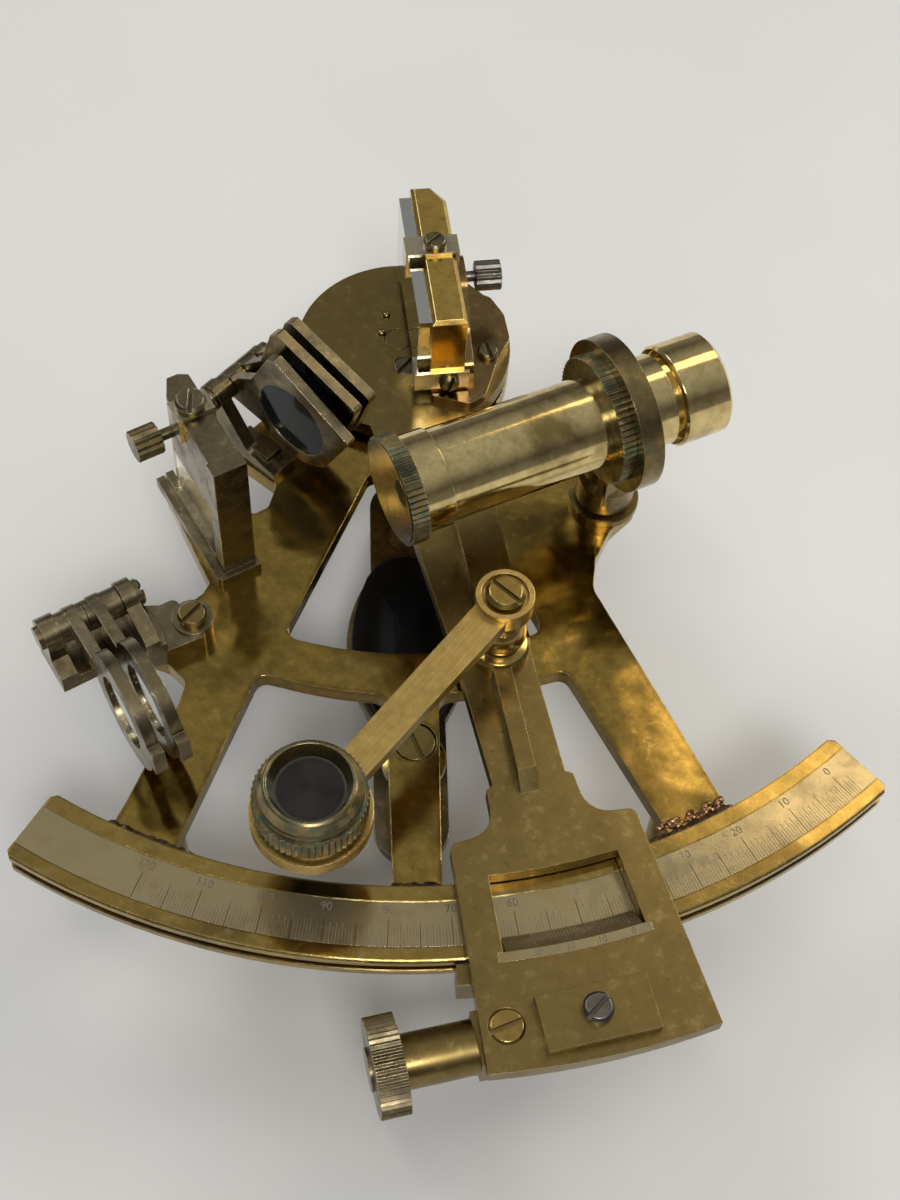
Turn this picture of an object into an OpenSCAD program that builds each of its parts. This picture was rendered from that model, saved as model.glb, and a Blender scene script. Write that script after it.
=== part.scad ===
// Small brass sextant: an arc of about sixty degrees on three legs, an index arm with a
// vernier and a swinging magnifier, two mirrors, two sets of hinged shades, and a
// telescope that turns on its foot.
//
// Everything is measured from the pivot of the index arm. Angles are counted in degrees
// from -Y towards +X, the way the arm points down to the arc. The table is at z = 0.

/* [Frame] */
// Height of the frame's underside above the table
leg_h = 24; // [18:0.5:32]
// Thickness of the frame plate
frame_t = 3; // [2:0.1:4]
// Radius of the round heads of the frame and of the arm
head_r = 18; // [15:0.5:22]
// Inner radius of the cross band
band_r_in = 58; // [50:0.5:62]
// Outer radius of the cross band
band_r_out = 65.2; // [60:0.5:70]
// Half width of the middle limb
mid_limb = 3.7; // [3:0.1:5]

/* [Arc] */
// Outer radius of the arc
arc_r_out = 108; // [100:0.5:120]
// Width of the arc
arc_w = 11.4; // [10:0.1:13]
// Thickness of the arc
arc_t = 4.5; // [3.5:0.1:6]
// Angle of the arc's left end
arc_left = -32.7; // [-40:0.1:-25]
// Angle of the arc's right end
arc_right = 40.4; // [30:0.1:45]
// Width of the silver strip
strip_w = 6.6; // [5:0.1:8]
// Distance of the silver strip from the arc's rim
strip_rim = 2.3; // [1.5:0.1:3]
// Depth of the groove in the arc's rim
groove_d = 1; // [0.5:0.1:2]

/* [Index arm] */
// Angle at which the arm rests
arm_angle = 11.4; // [-20:0.1:30]
// Thickness of the arm
arm_t = 2.6; // [2:0.1:3.5]
// Distance from the arc's rim to the arm's lower edge
arm_tail = 17; // [14:0.5:20]
// Width of the raised rib
rib_w = 2.7; // [2:0.1:4]
// Height of the raised rib
rib_h = 2.3; // [1:0.1:3]
// Diameter of the pivot shaft
shaft_d = 5; // [4:0.1:6]

/* [Mirrors] */
// Direction of the index mirror
index_dir = 5.6; // [0:0.1:12]
// Direction of the horizon mirror
horizon_dir = 28.5; // [20:0.1:35]
// Thickness of the mirror glasses
glass_t = 2; // [1:0.1:3]

/* [Telescope] */
// Height of the telescope's axis above the frame
scope_rise = 23; // [18:0.5:28]
// Direction of the telescope, from +X towards +Y
scope_dir = 23; // [5:0.1:26]
// Outer diameter of the body tube
scope_d = 14.3; // [12:0.1:16]
// Diameter of the large collar ring
ring_d = 24.2; // [20:0.1:28]
// Diameter of the eye cap
eye_d = 16; // [14:0.1:18]

/* [Magnifier] */
// Distance of the magnifier's post from the arm's pivot
post_r = 61; // [55:0.1:65]
// Length of the magnifier's arm, post to lens
swing_l = 43.3; // [38:0.1:48]
// Direction in which the magnifier rests
swing_dir = -39.8; // [-60:0.1:20]
// Diameter of the knurled cell
cell_d = 15.7; // [13:0.1:18]

/* [Fine adjustment] */
// Distance of the tangent screw from the arc's rim
tangent_gap = 10; // [9:0.1:12]
// Diameter of the knurled knob
knob_d = 13.8; // [10:0.1:16]
// Thickness of the knurled knob
knob_t = 4.2; // [3:0.1:6]

/* [Shades] */
// Width of the square index shades
shade_w = 18; // [14:0.1:20]
// Thickness of an index shade
shade_t = 1.7; // [1:0.1:2.5]
// Step from one index shade to the next
shade_step = 3.2; // [2.5:0.1:4]
// Outer diameter of the horizon shade rings
hoop_d = 18.6; // [15:0.1:20]
// Thickness of a horizon shade ring
hoop_t = 1.9; // [1:0.1:2.5]

/* [Fits] */
// Radial clearance of turning and sliding pieces
fit = 0.03; // [0.01:0.01:0.1]
// End play between pieces that move past each other
play = 0.1; // [0.05:0.01:0.3]

/* [Hidden] */
$fn = 72;

// Colours
aged = [0.50, 0.40, 0.19];
golden = [0.62, 0.46, 0.18];
pale = [0.72, 0.60, 0.36];
bronze = [0.38, 0.33, 0.24];
silver = [0.70, 0.67, 0.58];
black = [0.05, 0.05, 0.05];
dark_glass = [0.06, 0.08, 0.12];
clear_glass = [0.75, 0.80, 0.80, 0.4];

// Place of the pivot, so that the origin is under the middle of the whole sextant
pivot_x = -5.78;
pivot_y = 54.49;

// Heights of the layers
frame_top = leg_h + frame_t;
arc_top = frame_top + 1;
arc_low = arc_top - arc_t;
arm_z = arc_top + 0.4;
arm_top = arm_z + arm_t;
rib_top = arm_top + rib_h;
inlay_t = 0.5;
flange_t = 1.3;

// Radii of the layers
arc_r_in = arc_r_out - arc_w;
strip_r_out = arc_r_out - strip_rim;
strip_r_in = strip_r_out - strip_w;
arm_r_end = arc_r_out + arm_tail;
tangent_r = arc_r_out + tangent_gap;

// Places on the frame, from the pivot
leg_spots = [[-36.6, -82.2], [38.5, -81.4], [0, 12]];
leg_spigot = 1.5;
handle_spots = [[0, -19.5], [0.2, -73.2]];
foot_spot = [31.9, -29];
shade_screw_spot = [-33.2, -53.5];

// Slots of the screws
slot_w = 0.7;
slot_d = 0.6;

// Shapes that repeat

function unit(v) = v / norm(v);

// Points of one corner [x, y, radius] between its two neighbours
function corner(a, b, c, steps) =
    let (
        p = [b.x, b.y],
        u = unit([a.x, a.y] - p),
        v = unit([c.x, c.y] - p),
        half = acos(u * v) / 2,
        r = b.z,
        centre = p + unit(u + v) * r / sin(half),
        p1 = p + u * r / tan(half),
        p2 = p + v * r / tan(half),
        a1 = atan2(p1.y - centre.y, p1.x - centre.x),
        a2 = atan2(p2.y - centre.y, p2.x - centre.x),
        turn = (a2 - a1 + 540) % 360 - 180
    )
    [for (i = [0:steps]) centre + r * [cos(a1 + turn * i / steps), sin(a1 + turn * i / steps)]];

// Point at radius r and angle a, with the radius of its corner
function at(r, a, round = 0) = [r * sin(a), -r * cos(a), round];

// Outline with its corners rounded: each point is [x, y, radius]
function rounded(v, steps = 5) = [
    for (i = [0:len(v) - 1])
        each v[i].z == 0 ? [[v[i].x, v[i].y]]
            : corner(v[(i + len(v) - 1) % len(v)], v[i], v[(i + 1) % len(v)], steps)
];

// Points of an arc about the pivot, from angle a1 to a2
function arc_points(r, a1, a2, steps = 8) = [
    for (i = [0:steps])
        let (a = a1 + (a2 - a1) * i / steps) [r * sin(a), -r * cos(a), 0]
];

// The same outline seen in a mirror, in turning order
function mirrored(v) = [for (i = [len(v) - 1:-1:0]) [-v[i].x, v[i].y, v[i].z]];

module placed() translate([pivot_x, pivot_y, 0]) children();
module arm_frame() placed() rotate([0, 0, arm_angle]) children();
module index_frame() placed() rotate([0, 0, index_dir]) children();
module horizon_frame() placed() rotate([0, 0, horizon_dir]) children();

// A profile of distance from the pivot and height, as a wall of width w across the arm
module side_wall(w) rotate([90, 0, -90]) translate([0, 0, -w / 2]) linear_extrude(w) children();

// Sector of a ring about the pivot with the profile given in radius and height
module sector(a1, a2) rotate([0, 0, a1 - 90]) rotate_extrude(angle = a2 - a1) children();

// Oval with half axes a and b, made of two end arcs and two side arcs
module oval(a, b, end_r) {
    side_r = (a * a + (b - end_r) * (b - end_r) - end_r * end_r) / (2 * (a - end_r));
    join_y = (b - end_r) * side_r / (side_r - end_r);
    for (s = [-1, 1]) translate([0, s * (b - end_r)]) circle(end_r);
    intersection() {
        translate([a - side_r, 0]) circle(side_r);
        translate([side_r - a, 0]) circle(side_r);
        translate([-a, -join_y]) square([2 * a, 2 * join_y]);
    }
}

// Slotted screw: the head stands on z = 0 and the shank points down
module slot_screw(d, h, shank_d, shank_l, turn = 0) {
    bevel = h * 0.3;
    difference() {
        union() {
            cylinder(d = d, h = h - bevel);
            translate([0, 0, h - bevel])
                cylinder(d1 = d, d2 = d - 2 * bevel, h = bevel);
            translate([0, 0, -shank_l])
                cylinder(d = shank_d, h = shank_l + 0.01);
        }
        rotate([0, 0, turn])
            translate([-d, -slot_w / 2, h - slot_d])
                cube([2 * d, slot_w, h]);
    }
}

// Knurled wheel with straight teeth and plain bevelled rims
module knurled(d, h, teeth, depth = 0.35) {
    r = d / 2;
    linear_extrude(h)
        polygon([
            for (i = [0:2 * teeth - 1])
                (r - (i % 2) * depth) * [cos(i * 180 / teeth), sin(i * 180 / teeth)]
        ]);
}

// Knurled thumb screw: the shank starts at z = 0 and the head ends it
module thumb_screw(head_d, head_l, shank_d, shank_l, teeth) {
    cylinder(d = shank_d, h = shank_l + 0.01);
    translate([0, 0, shank_l])
        knurled(head_d, head_l, teeth, 0.3);
}

// Round boss lying along Y from y1 to y2
module boss_y(r, y1, y2) translate([0, y2, 0]) rotate([90, 0, 0]) cylinder(r = r, h = y2 - y1);

// Round boss lying along X from x1 to x2
module boss_x(r, x1, x2) translate([x1, 0, 0]) rotate([0, 90, 0]) cylinder(r = r, h = x2 - x1);

// Frame

neck_r = 4.5;
stud_r = 2;

frame_left = [
    [-14, -3, 0], [-20.5, -9.5, 4], [-29.4, -18.9, 3.5], [-21.1, -26.1, 1.2],
    [-22.3, -30.4, 1.2], [-24.8, -31.9, 1], [-33.8, -23.8, 1.5], [-39.2, -27, 1.5],
    [-31.2, -45, 0.8], [-32.2, -46.9, 0.8], [-35, -49.3, 1.5], [-41.8, -50.6, 2.5],
    [-41.8, -57.6, 2.5], [-36.8, -59.6, 1.5], [-34, -62.6, 1.5], [-35, -66.3, 1],
    [-41.7, -82.1, 0], at(arc_r_in + 8, -26.7)
];
frame_right = [
    at(arc_r_in + 14.2, 27.8), [29, -46.4, 3], [29.9, -40.6, 3], [32.6, -35.2, 6], [37, -31, 3],
    [38.2, -25.5, 4], [33, -21.8, 4], [21, -20, 5], [15, -8, 0]
];

module window_upper()
    polygon(rounded(concat(
        [[-6.1, -23.8, 2], [-19.6, -54.8, 2]],
        arc_points(band_r_in, -15, 16),
        [[20.9, -54.1, 2], [7, -23.5, 2]]
    )));

module window_left()
    polygon(rounded(concat(
        [at(arc_r_in + 10.6, -21.1), [-23.2, -61.2, 1.8]],
        arc_points(band_r_out, -17, -7),
        [[-mid_limb - 0.3, -band_r_out, 2.2], [-mid_limb + 0.3, -arc_r_in - 5, 0]]
    )));

module window_right()
    polygon(rounded(concat(
        [
            at(arc_r_in + 12, 22.9), [mid_limb - 0.3, -arc_r_in - 5, 0],
            [mid_limb + 0.3, -band_r_out, 2.2]
        ],
        arc_points(band_r_out, 7, 17),
        [[23.6, -61.1, 1.8]]
    )));

module frame_plate() color(aged) placed()
    translate([0, 0, leg_h]) difference() {
        linear_extrude(frame_t) difference() {
            intersection() {
                union() {
                    circle(head_r);
                    polygon(rounded(concat(frame_left, [at(arc_r_in + 18, 0)], frame_right)));
                }
                circle(arc_r_in);
            }
            window_upper();
            window_left();
            window_right();
            circle(neck_r);
            translate(foot_spot) circle(stud_r);
            translate(shade_screw_spot) circle(1.2);
            for (p = handle_spots) translate(p) circle(1.5);
        }
        for (p = handle_spots)
            translate([p.x, p.y, frame_t - 1.2]) cylinder(r = 3.25, h = 2);
        for (p = leg_spots)
            translate([p.x, p.y, -1]) cylinder(r = leg_spigot, h = 3);
    }

module arc() color(golden) placed() difference() {
    sector(arc_left, arc_right)
        polygon([
            [arc_r_in, arc_low], [arc_r_out, arc_low], [arc_r_out, arc_low + flange_t],
            [arc_r_out - groove_d, arc_low + flange_t],
            [arc_r_out - groove_d, arc_top - flange_t],
            [arc_r_out, arc_top - flange_t], [arc_r_out, arc_top - 0.3],
            [arc_r_out - 0.3, arc_top], [arc_r_in, arc_top]
        ]);
    sector(arc_left - 1, arc_right + 1)
        translate([strip_r_in, arc_top - inlay_t])
            square([strip_r_out - strip_r_in, 1]);
    // bevelled corners of both ends
    for (a = [arc_left, arc_right], r = [arc_r_in, arc_r_out])
        rotate([0, 0, a]) translate([0, -r, arc_low - 1]) rotate([0, 0, 45])
            translate([-0.6, -0.6, 0]) cube([1.2, 1.2, arc_t + 2]);
}

module scale_strip() color(silver) placed()
    sector(arc_left, arc_right)
        translate([strip_r_in, arc_top - inlay_t])
            square([strip_r_out - strip_r_in, inlay_t]);

module legs() color(aged) placed()
    for (p = leg_spots) translate([p.x, p.y, 0]) {
        rotate_extrude()
            polygon([
                [0, 0], [3.2, 0], [3.6, 0.4], [3.6, 2.2], [2.7, 3], [2.3, 6],
                [2.3, leg_h - 6], [2.7, leg_h - 3.6], [3.4, leg_h - 2.8], [3.4, leg_h],
                [0, leg_h]
            ]);
        cylinder(r = leg_spigot, h = leg_h + 2);
    }

// Handle

tang_z = leg_h - 15;
tang_t = 2;
tang_w = 11.6;
tang_end = 6.5;
tang_rim = 0.9;
handle_turn = [70, 112];
pillar_r = 3.9;
grip_l = 33.2;
grip_w = 18;
grip_end = 6;
grip_y = -47.1;
scale_t = 5;

module handle_tang() color(bronze) placed() difference() {
    translate([0, 0, tang_z]) linear_extrude(tang_t) {
        // oval that carries the grip, and the strip that runs on past both pillars
        translate([0, grip_y]) oval(grip_w / 2 + tang_rim, grip_l / 2 + tang_rim, grip_end);
        translate([0, handle_spots[1].y - tang_end]) circle(d = tang_w);
        translate([0, handle_spots[0].y]) circle(d = tang_w);
        translate([-tang_w / 2, handle_spots[1].y - tang_end])
            square([tang_w, handle_spots[0].y - handle_spots[1].y + tang_end]);
    }
    for (p = handle_spots) translate([p.x, p.y, 0]) cylinder(r = 2.4, h = leg_h);
}

// One scale with a flat back, domed both ways
module grip_scale() translate([0, grip_y, 0]) intersection() {
    linear_extrude(scale_t) oval(grip_w / 2, grip_l / 2, grip_end);
    translate([0, 0, scale_t - 13]) rotate([90, 0, 0]) cylinder(r = 13, h = 2 * grip_l, center = true);
    translate([0, 0, scale_t - 40]) rotate([0, 90, 0]) cylinder(r = 40, h = 2 * grip_w, center = true);
}

module grip_scales() color(black) placed() {
    translate([0, 0, tang_z + tang_t]) grip_scale();
    translate([0, 0, tang_z]) mirror([0, 0, 1]) grip_scale();
}

module handle_pillars() color(golden) placed()
    for (p = handle_spots) translate([p.x, p.y, 0]) difference() {
        rotate_extrude()
            polygon([
                [0, tang_z - 5.6], [2.6, tang_z - 5.6], [4.2, tang_z - 4.4], [4.2, tang_z - 1],
                [3.4, tang_z], [2.4, tang_z], [2.4, tang_z + tang_t],
                [pillar_r, tang_z + tang_t], [pillar_r - 0.3, leg_h - 4.6],
                [4.9, leg_h - 4.1], [4.9, leg_h - 2.6], [3.6, leg_h - 2], [3.6, leg_h],
                [0, leg_h]
            ]);
        translate([0, 0, leg_h - 10]) cylinder(r = 1.5, h = leg_h);
    }

module frame_screws() color(aged) placed() {
    for (i = [0, 1])
        translate([handle_spots[i].x, handle_spots[i].y, frame_top - 1.2])
            slot_screw(6.5, 1.2, 3, 9.5, handle_turn[i]);
    translate([shade_screw_spot.x, shade_screw_spot.y, bracket_top])
        slot_screw(4.6, 1.3, 2.4, bracket_top - frame_top + 2, 50);
}

module pivot_bearing() color(aged) placed() difference() {
    union() {
        translate([0, 0, leg_h - 12]) cylinder(r1 = 5, r2 = 6.4, h = 9.6);
        translate([0, 0, leg_h - 2.4]) cylinder(r = 8, h = 2.4);
        translate([0, 0, leg_h - 4]) cylinder(r = neck_r, h = arm_z - leg_h + 4);
    }
    cylinder(r = shaft_d / 2 + fit, h = arm_top + 1);
}

// Horizon mirror

hor_x = -46;
hor_w = 4.8;
hor_near = -22.6;
hor_far = -5.5;
hor_low = frame_top + 14;
hor_top = frame_top + 27;
hor_screw_y = -9.6;
hor_screw_z = frame_top + 20;
hor_clip_y = -12.2;

module horizon_bracket() color(bronze) horizon_frame() {
    // pillar at the near end, with its spread foot
    translate([hor_x - 0.4, hor_near - 2.5, frame_top])
        cube([hor_w + 0.6, 2.5, hor_top - frame_top]);
    translate([hor_x - 1.4, hor_near - 3.6, frame_top])
        cube([hor_w + 2, 3.6, 1.8]);
    // rail that the glass stands in
    translate([hor_x + 0.4, hor_near, frame_top])
        cube([glass_t + 1.4, -hor_near - 5, 1.5]);
    translate([hor_x - 0.5, hor_near, frame_top])
        cube([1.3, -hor_near - 4.6, 3.6]);
    translate([hor_x - 1.9, hor_near - 3.2, frame_top])
        cube([1.4, -hor_near - 0.6, 2]);
}

module horizon_housing() color(bronze) horizon_frame() difference() {
    translate([0, 0, hor_low])
        linear_extrude(hor_top - hor_low)
            polygon([
                [hor_x, hor_near], [hor_x + hor_w, hor_near], [hor_x + hor_w, hor_far - 0.8],
                [hor_x + 3.4, hor_far], [hor_x + 1.6, hor_far], [hor_x, hor_far - 3.2]
            ]);
    // slot for the glass
    translate([hor_x + 0.8, hor_near - 1, hor_low - 1])
        cube([glass_t, 30, 4.5]);
    translate([hor_x - 1, hor_screw_y, hor_screw_z])
        boss_x(0.9 + fit, 0, 4);
    translate([hor_x + hor_w / 2, hor_clip_y, hor_top - 4]) cylinder(r = 1, h = 5);
}

module horizon_glass() color(clear_glass) horizon_frame()
    translate([hor_x + 0.8, hor_near, frame_top + 1.5])
        cube([glass_t, hor_far - hor_near - 0.6, hor_low + 3.5 - frame_top - 1.5]);

module horizon_clip() color(silver) horizon_frame() difference() {
    union() {
        translate([hor_x - 0.6, hor_clip_y - 2, hor_top - 4.5])
            cube([0.6, 4, 5.1]);
        translate([hor_x - 0.6, hor_clip_y - 2, hor_top])
            cube([hor_w + 1.2, 4, 0.6]);
        translate([hor_x + hor_w, hor_clip_y - 2, hor_top - 3])
            cube([0.6, 4, 3.6]);
    }
    translate([hor_x + hor_w / 2, hor_clip_y, hor_top - 4]) cylinder(r = 1, h = 5);
}

module horizon_clip_screw() color(bronze) horizon_frame()
    translate([hor_x + hor_w / 2, hor_clip_y, hor_top + 0.6])
        slot_screw(4.8, 1.6, 2, 4, 60);

module horizon_adjust_screw() color(bronze) horizon_frame()
    translate([hor_x + 2.4, hor_screw_y, hor_screw_z])
        rotate([0, -90, 0])
            thumb_screw(5, 4.2, 1.8, 4.8, 14);

// Index shades: x runs along the plates, y along the hinge, z up

shade_dir = -42.36;
hinge_s = -12;
hinge_z = frame_top + 10.4;
shade_front = -29.5;
shade_tilts = [-26.1, -17.3, -17.3];
lug_r = 2.1;
shade_pin_r = 1.2;
shade_cx = 11.4;
shade_cy = 8.8;
shade_glass_r = 6.7;

module shade_frame() placed() rotate([0, 0, shade_dir]) children();

module on_hinge(i)
    translate([hinge_s, shade_front + i * shade_step, hinge_z])
        rotate([90, 0, 0]) rotate([0, 0, shade_tilts[i]])
            translate([0, 0, -shade_t]) children();

module index_shade(i) color(bronze) shade_frame() on_hinge(i) {
    difference() {
        linear_extrude(shade_t) union() {
            translate([shade_cx, shade_cy]) circle(shade_w / 2);
            polygon(rounded([
                [shade_cx - shade_w / 2, shade_cy, 0], [shade_cx + shade_w / 2, shade_cy, 0],
                [shade_cx + shade_w / 2, shade_cy + shade_w / 2, 0.8],
                [shade_cx - shade_w / 2 + 0.9, shade_cy + shade_w / 2, 0.4],
                [shade_cx - shade_w / 2, shade_cy + shade_w / 2 - 1.3, 0.4]
            ], 3));
            polygon([[0, -lug_r], [8, -lug_r + 2.5], [8, 8], [2.4, 8], [-0.6, 2]]);
            circle(lug_r);
        }
        translate([shade_cx, shade_cy, -1]) cylinder(r = shade_glass_r, h = shade_t + 2);
        translate([0, 0, -1]) cylinder(r = shade_pin_r + fit, h = shade_t + 2);
    }
    // collar that keeps it clear of the next plate
    if (i < 2) translate([0, 0, -(shade_step - shade_t - play)]) difference() {
        cylinder(r = lug_r, h = shade_step - shade_t - play);
        translate([0, 0, -1]) cylinder(r = shade_pin_r + fit, h = shade_step);
    }
}

module index_shade_glass(i) color(dark_glass) shade_frame() on_hinge(i)
    translate([shade_cx, shade_cy, 0.2]) cylinder(r = shade_glass_r, h = shade_t - 0.4);

module index_shade_1() index_shade(0);
module index_shade_2() index_shade(1);
module index_shade_3() index_shade(2);
module index_shade_glass_1() index_shade_glass(0);
module index_shade_glass_2() index_shade_glass(1);
module index_shade_glass_3() index_shade_glass(2);

cheek_y = shade_front - 3.8;
cheek_t = 2.2;

module index_shade_bracket() color(bronze) shade_frame() difference() {
    union() {
        // foot on the frame's lobe, and its block
        translate([-8.8, cheek_y, frame_top]) cube([10, 5, 1.5]);
        translate([-5.6, cheek_y + 1, frame_top]) cube([4.6, 3.4, 3.2]);
        // upright that leans out to the hinge
        translate([0, cheek_y + cheek_t, 0]) rotate([90, 0, 0]) linear_extrude(cheek_t) {
            polygon(rounded([
                [-8.8, frame_top, 0], [1.2, frame_top, 0], [1.2, frame_top + 1.5, 0],
                [-4.6, frame_top + 3, 3], [hinge_s + 2.2, hinge_z + 0.4, 0],
                [hinge_s - 2.2, hinge_z - 1, 0], [-11.6, frame_top + 5, 3]
            ]));
            translate([hinge_s, hinge_z]) circle(2.4);
        }
        translate([hinge_s, 0, hinge_z])
            boss_y(lug_r, cheek_y + cheek_t, shade_front - play);
    }
    translate([hinge_s, 0, hinge_z]) boss_y(shade_pin_r, cheek_y - 1, shade_front);
}

module index_shade_pin() color(bronze) shade_frame()
    translate([hinge_s, 0, hinge_z]) {
        boss_y(shade_pin_r, cheek_y, shade_front + 2 * shade_step + shade_t + 0.6);
        translate([0, cheek_y, 0]) rotate([90, 0, 0]) slot_screw(4.2, 1.2, 1, 0.5, 30);
        boss_y(1.9, shade_front + 2 * shade_step + shade_t + play,
            shade_front + 2 * shade_step + shade_t + 1.3);
    }

// Horizon shades: x runs along the hinge, -y points out, z up

hoop_spot = [-48.6, -55.8];
hoop_z = frame_top + 8;
hoop_dir = 29.8;
hoop_reach = 18.5;
hoop_lug = 2.6;
hoop_pin_r = 1.2;
hoop_bore = 5.8;
hoop_tab = 1.3;
hoop_x = [-2.9, 1.0];
hoop_lift = 6;
ear_left = -7.2;
ear_left_t = 2.7;
ear_right = 5.6;
ear_right_t = 2.3;
ear_back = 2.6;
bar_front = -5.6;
foot_front = -8.7;
bar_top = frame_top + 2.6;
bracket_top = frame_top + 3.9;

module hoop_frame()
    placed() translate([hoop_spot.x, hoop_spot.y, hoop_z]) rotate([0, 0, hoop_dir]) children();

module on_hoop(i)
    translate([hoop_x[i], 0, 0]) rotate([-hoop_lift, 0, 0]) rotate([0, 90, 0]) children();

module horizon_shade(i, back, front) color(bronze) hoop_frame() on_hoop(i) difference() {
    union() {
        translate([0, -hoop_reach, 0]) cylinder(d = hoop_d, h = hoop_t);
        // tab for the finger
        translate([-2.25, -hoop_reach - hoop_d / 2 - hoop_tab, 0]) cube([4.5, 4, hoop_t]);
        translate([-hoop_lug + 0.2, -hoop_reach + hoop_bore + 0.5, 0])
            cube([2 * hoop_lug - 0.4, hoop_reach - hoop_bore - 0.5, hoop_t]);
        cylinder(r = hoop_lug, h = hoop_t);
        translate([0, 0, -back]) cylinder(r = hoop_lug - 0.2, h = back + front + hoop_t);
    }
    translate([0, -hoop_reach, -1]) cylinder(r = hoop_bore, h = hoop_t + 2);
    translate([0, 0, -back - 1]) cylinder(r = hoop_pin_r + fit, h = back + front + 5);
}

module horizon_shade_glass(i) color(clear_glass) hoop_frame() on_hoop(i)
    translate([0, -hoop_reach, 0.5]) cylinder(r = hoop_bore, h = hoop_t - 1);

hoop_gap = hoop_x[1] - hoop_x[0] - hoop_t;
module horizon_shade_1()
    horizon_shade(0, hoop_x[0] - ear_left - ear_left_t - play, hoop_gap / 2 - play / 2);
module horizon_shade_2()
    horizon_shade(1, hoop_gap / 2 - play / 2, ear_right - hoop_x[1] - hoop_t - play);
module horizon_shade_glass_1() horizon_shade_glass(0);
module horizon_shade_glass_2() horizon_shade_glass(1);

module horizon_shade_bracket() color(bronze) difference() {
    union() {
        hoop_frame() {
            // bar behind the rings
            translate([ear_left, bar_front, frame_top - hoop_z])
                cube([ear_right - ear_left + 1, ear_back - bar_front, bar_top - frame_top]);
            // left ear
            boss_x(hoop_lug + 0.2, ear_left, ear_left + ear_left_t);
            translate([ear_left, 0, 0]) rotate([90, 0, 90])
                linear_extrude(ear_left_t)
                    polygon([
                        [bar_front, frame_top - hoop_z], [ear_back, frame_top - hoop_z],
                        [ear_back, 0], [-ear_back, 0], [-ear_back, -3.4], [bar_front, -4.4]
                    ]);
            // right ear, whose nose runs out beside the rings
            boss_x(hoop_lug + 0.2, ear_right, ear_right + ear_right_t);
            translate([ear_right, 0, 0]) rotate([90, 0, 90])
                linear_extrude(ear_right_t)
                    polygon([
                        [foot_front, frame_top - hoop_z], [ear_back, frame_top - hoop_z],
                        [ear_back, 0], [-ear_back, 1], [foot_front + 1, -0.6], [foot_front, -1.2]
                    ]);
        }
        // foot on the frame's lobe, its raised root and the seat of the screw
        placed() translate([0, 0, frame_top]) {
            linear_extrude(bracket_top - frame_top - 0.5)
                polygon(rounded([
                    [-31.4, -56.7, 0.4], [-37.6, -59.6, 0], [-39.3, -60.4, 0], [-44.9, -50.7, 0],
                    [-43, -49.6, 0], [-40.9, -51.1, 0.8], [-38.3, -51.1, 0.8],
                    [-36.2, -49.9, 1], [-31.2, -55.6, 0.6]
                ]));
            linear_extrude(bracket_top - frame_top + 1.6)
                polygon([
                    [-36.6, -59.1], [-38, -59.8], [-43.4, -50], [-42.4, -50], [-38.6, -54.4]
                ]);
            translate(shade_screw_spot) cylinder(r = 3.1, h = bracket_top - frame_top);
        }
    }
    hoop_frame() boss_x(hoop_pin_r, ear_left - 1, ear_right + ear_right_t + 1);
    placed() translate([shade_screw_spot.x, shade_screw_spot.y, 0])
        cylinder(r = 1.2, h = 60);
}

module horizon_shade_pin() color(bronze) hoop_frame() {
    boss_x(hoop_pin_r, ear_left, ear_right + ear_right_t);
    translate([ear_right + ear_right_t, 0, 0]) rotate([0, 90, 0])
        slot_screw(4.2, 1.3, 1, 0.5, 20);
    boss_x(1.9, ear_left - 0.7, ear_left);
}

// Telescope: z runs from the objective to the eye

scope_spot = [-3.3, -44];
scope_z = frame_top + scope_rise;
bore_r = scope_d / 2 - 1;
cap_d = 17;
cap_l = 2.7;
collar_end = 7.2;
tube_end = 44.4;
flange_s = 33.4;
flange_l = 2.2;
ring_s = 35.6;
ring_l = 3.5;
stem_r = 4.7;
stem_low = frame_top + 1.2;
stem_top = frame_top + 12.6;
spigot_r = 2;
spigot_top = frame_top + 7;
eye_l = 8;

module scope_frame()
    placed() translate([scope_spot.x, scope_spot.y, scope_z])
        rotate([0, 0, scope_dir]) rotate([0, 90, 0]) children();

module telescope_foot() color(aged) placed()
    translate([foot_spot.x, foot_spot.y, 0]) {
        translate([0, 0, frame_top]) cylinder(r = 5.7, h = stem_low - frame_top);
        translate([0, 0, leg_h - 3]) cylinder(r = stud_r, h = stem_low - leg_h + 3);
        translate([0, 0, leg_h - 2.6]) cylinder(r = 3.6, h = 2.6);
        translate([0, 0, stem_low]) cylinder(r = spigot_r, h = spigot_top - stem_low);
    }

module telescope_collar() color(aged) difference() {
    union() {
        placed() translate([foot_spot.x, foot_spot.y, stem_low + play / 2])
            rotate_extrude()
                polygon([
                    [0, 0], [4.2, 0], [stem_r, 0.8], [stem_r, 5.5], [4, 7],
                    [4, stem_top - stem_low], [0, stem_top - stem_low]
                ]);
        scope_frame() {
            translate([0, 0, ring_s]) cylinder(d = ring_d, h = ring_l);
            // saddle between the stem and the ring
            translate([ring_d / 2 - 4, -4, ring_s]) cube([scope_z - stem_top, 8, ring_l]);
        }
    }
    scope_frame() translate([0, 0, ring_s - 1]) cylinder(d = scope_d, h = ring_l + 2);
    placed() translate([foot_spot.x, foot_spot.y, 0])
        cylinder(r = spigot_r + fit, h = spigot_top + 0.5);
}

module telescope_tube() color(pale) scope_frame() difference() {
    union() {
        translate([0, 0, 1.2]) cylinder(d = scope_d + 0.8, h = collar_end - 1.2);
        cylinder(d = scope_d, h = tube_end);
    }
    translate([0, 0, -1]) cylinder(r = bore_r, h = tube_end + 2);
    translate([0, 0, -1]) cylinder(d = 20, h = 2.2);
}

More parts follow.
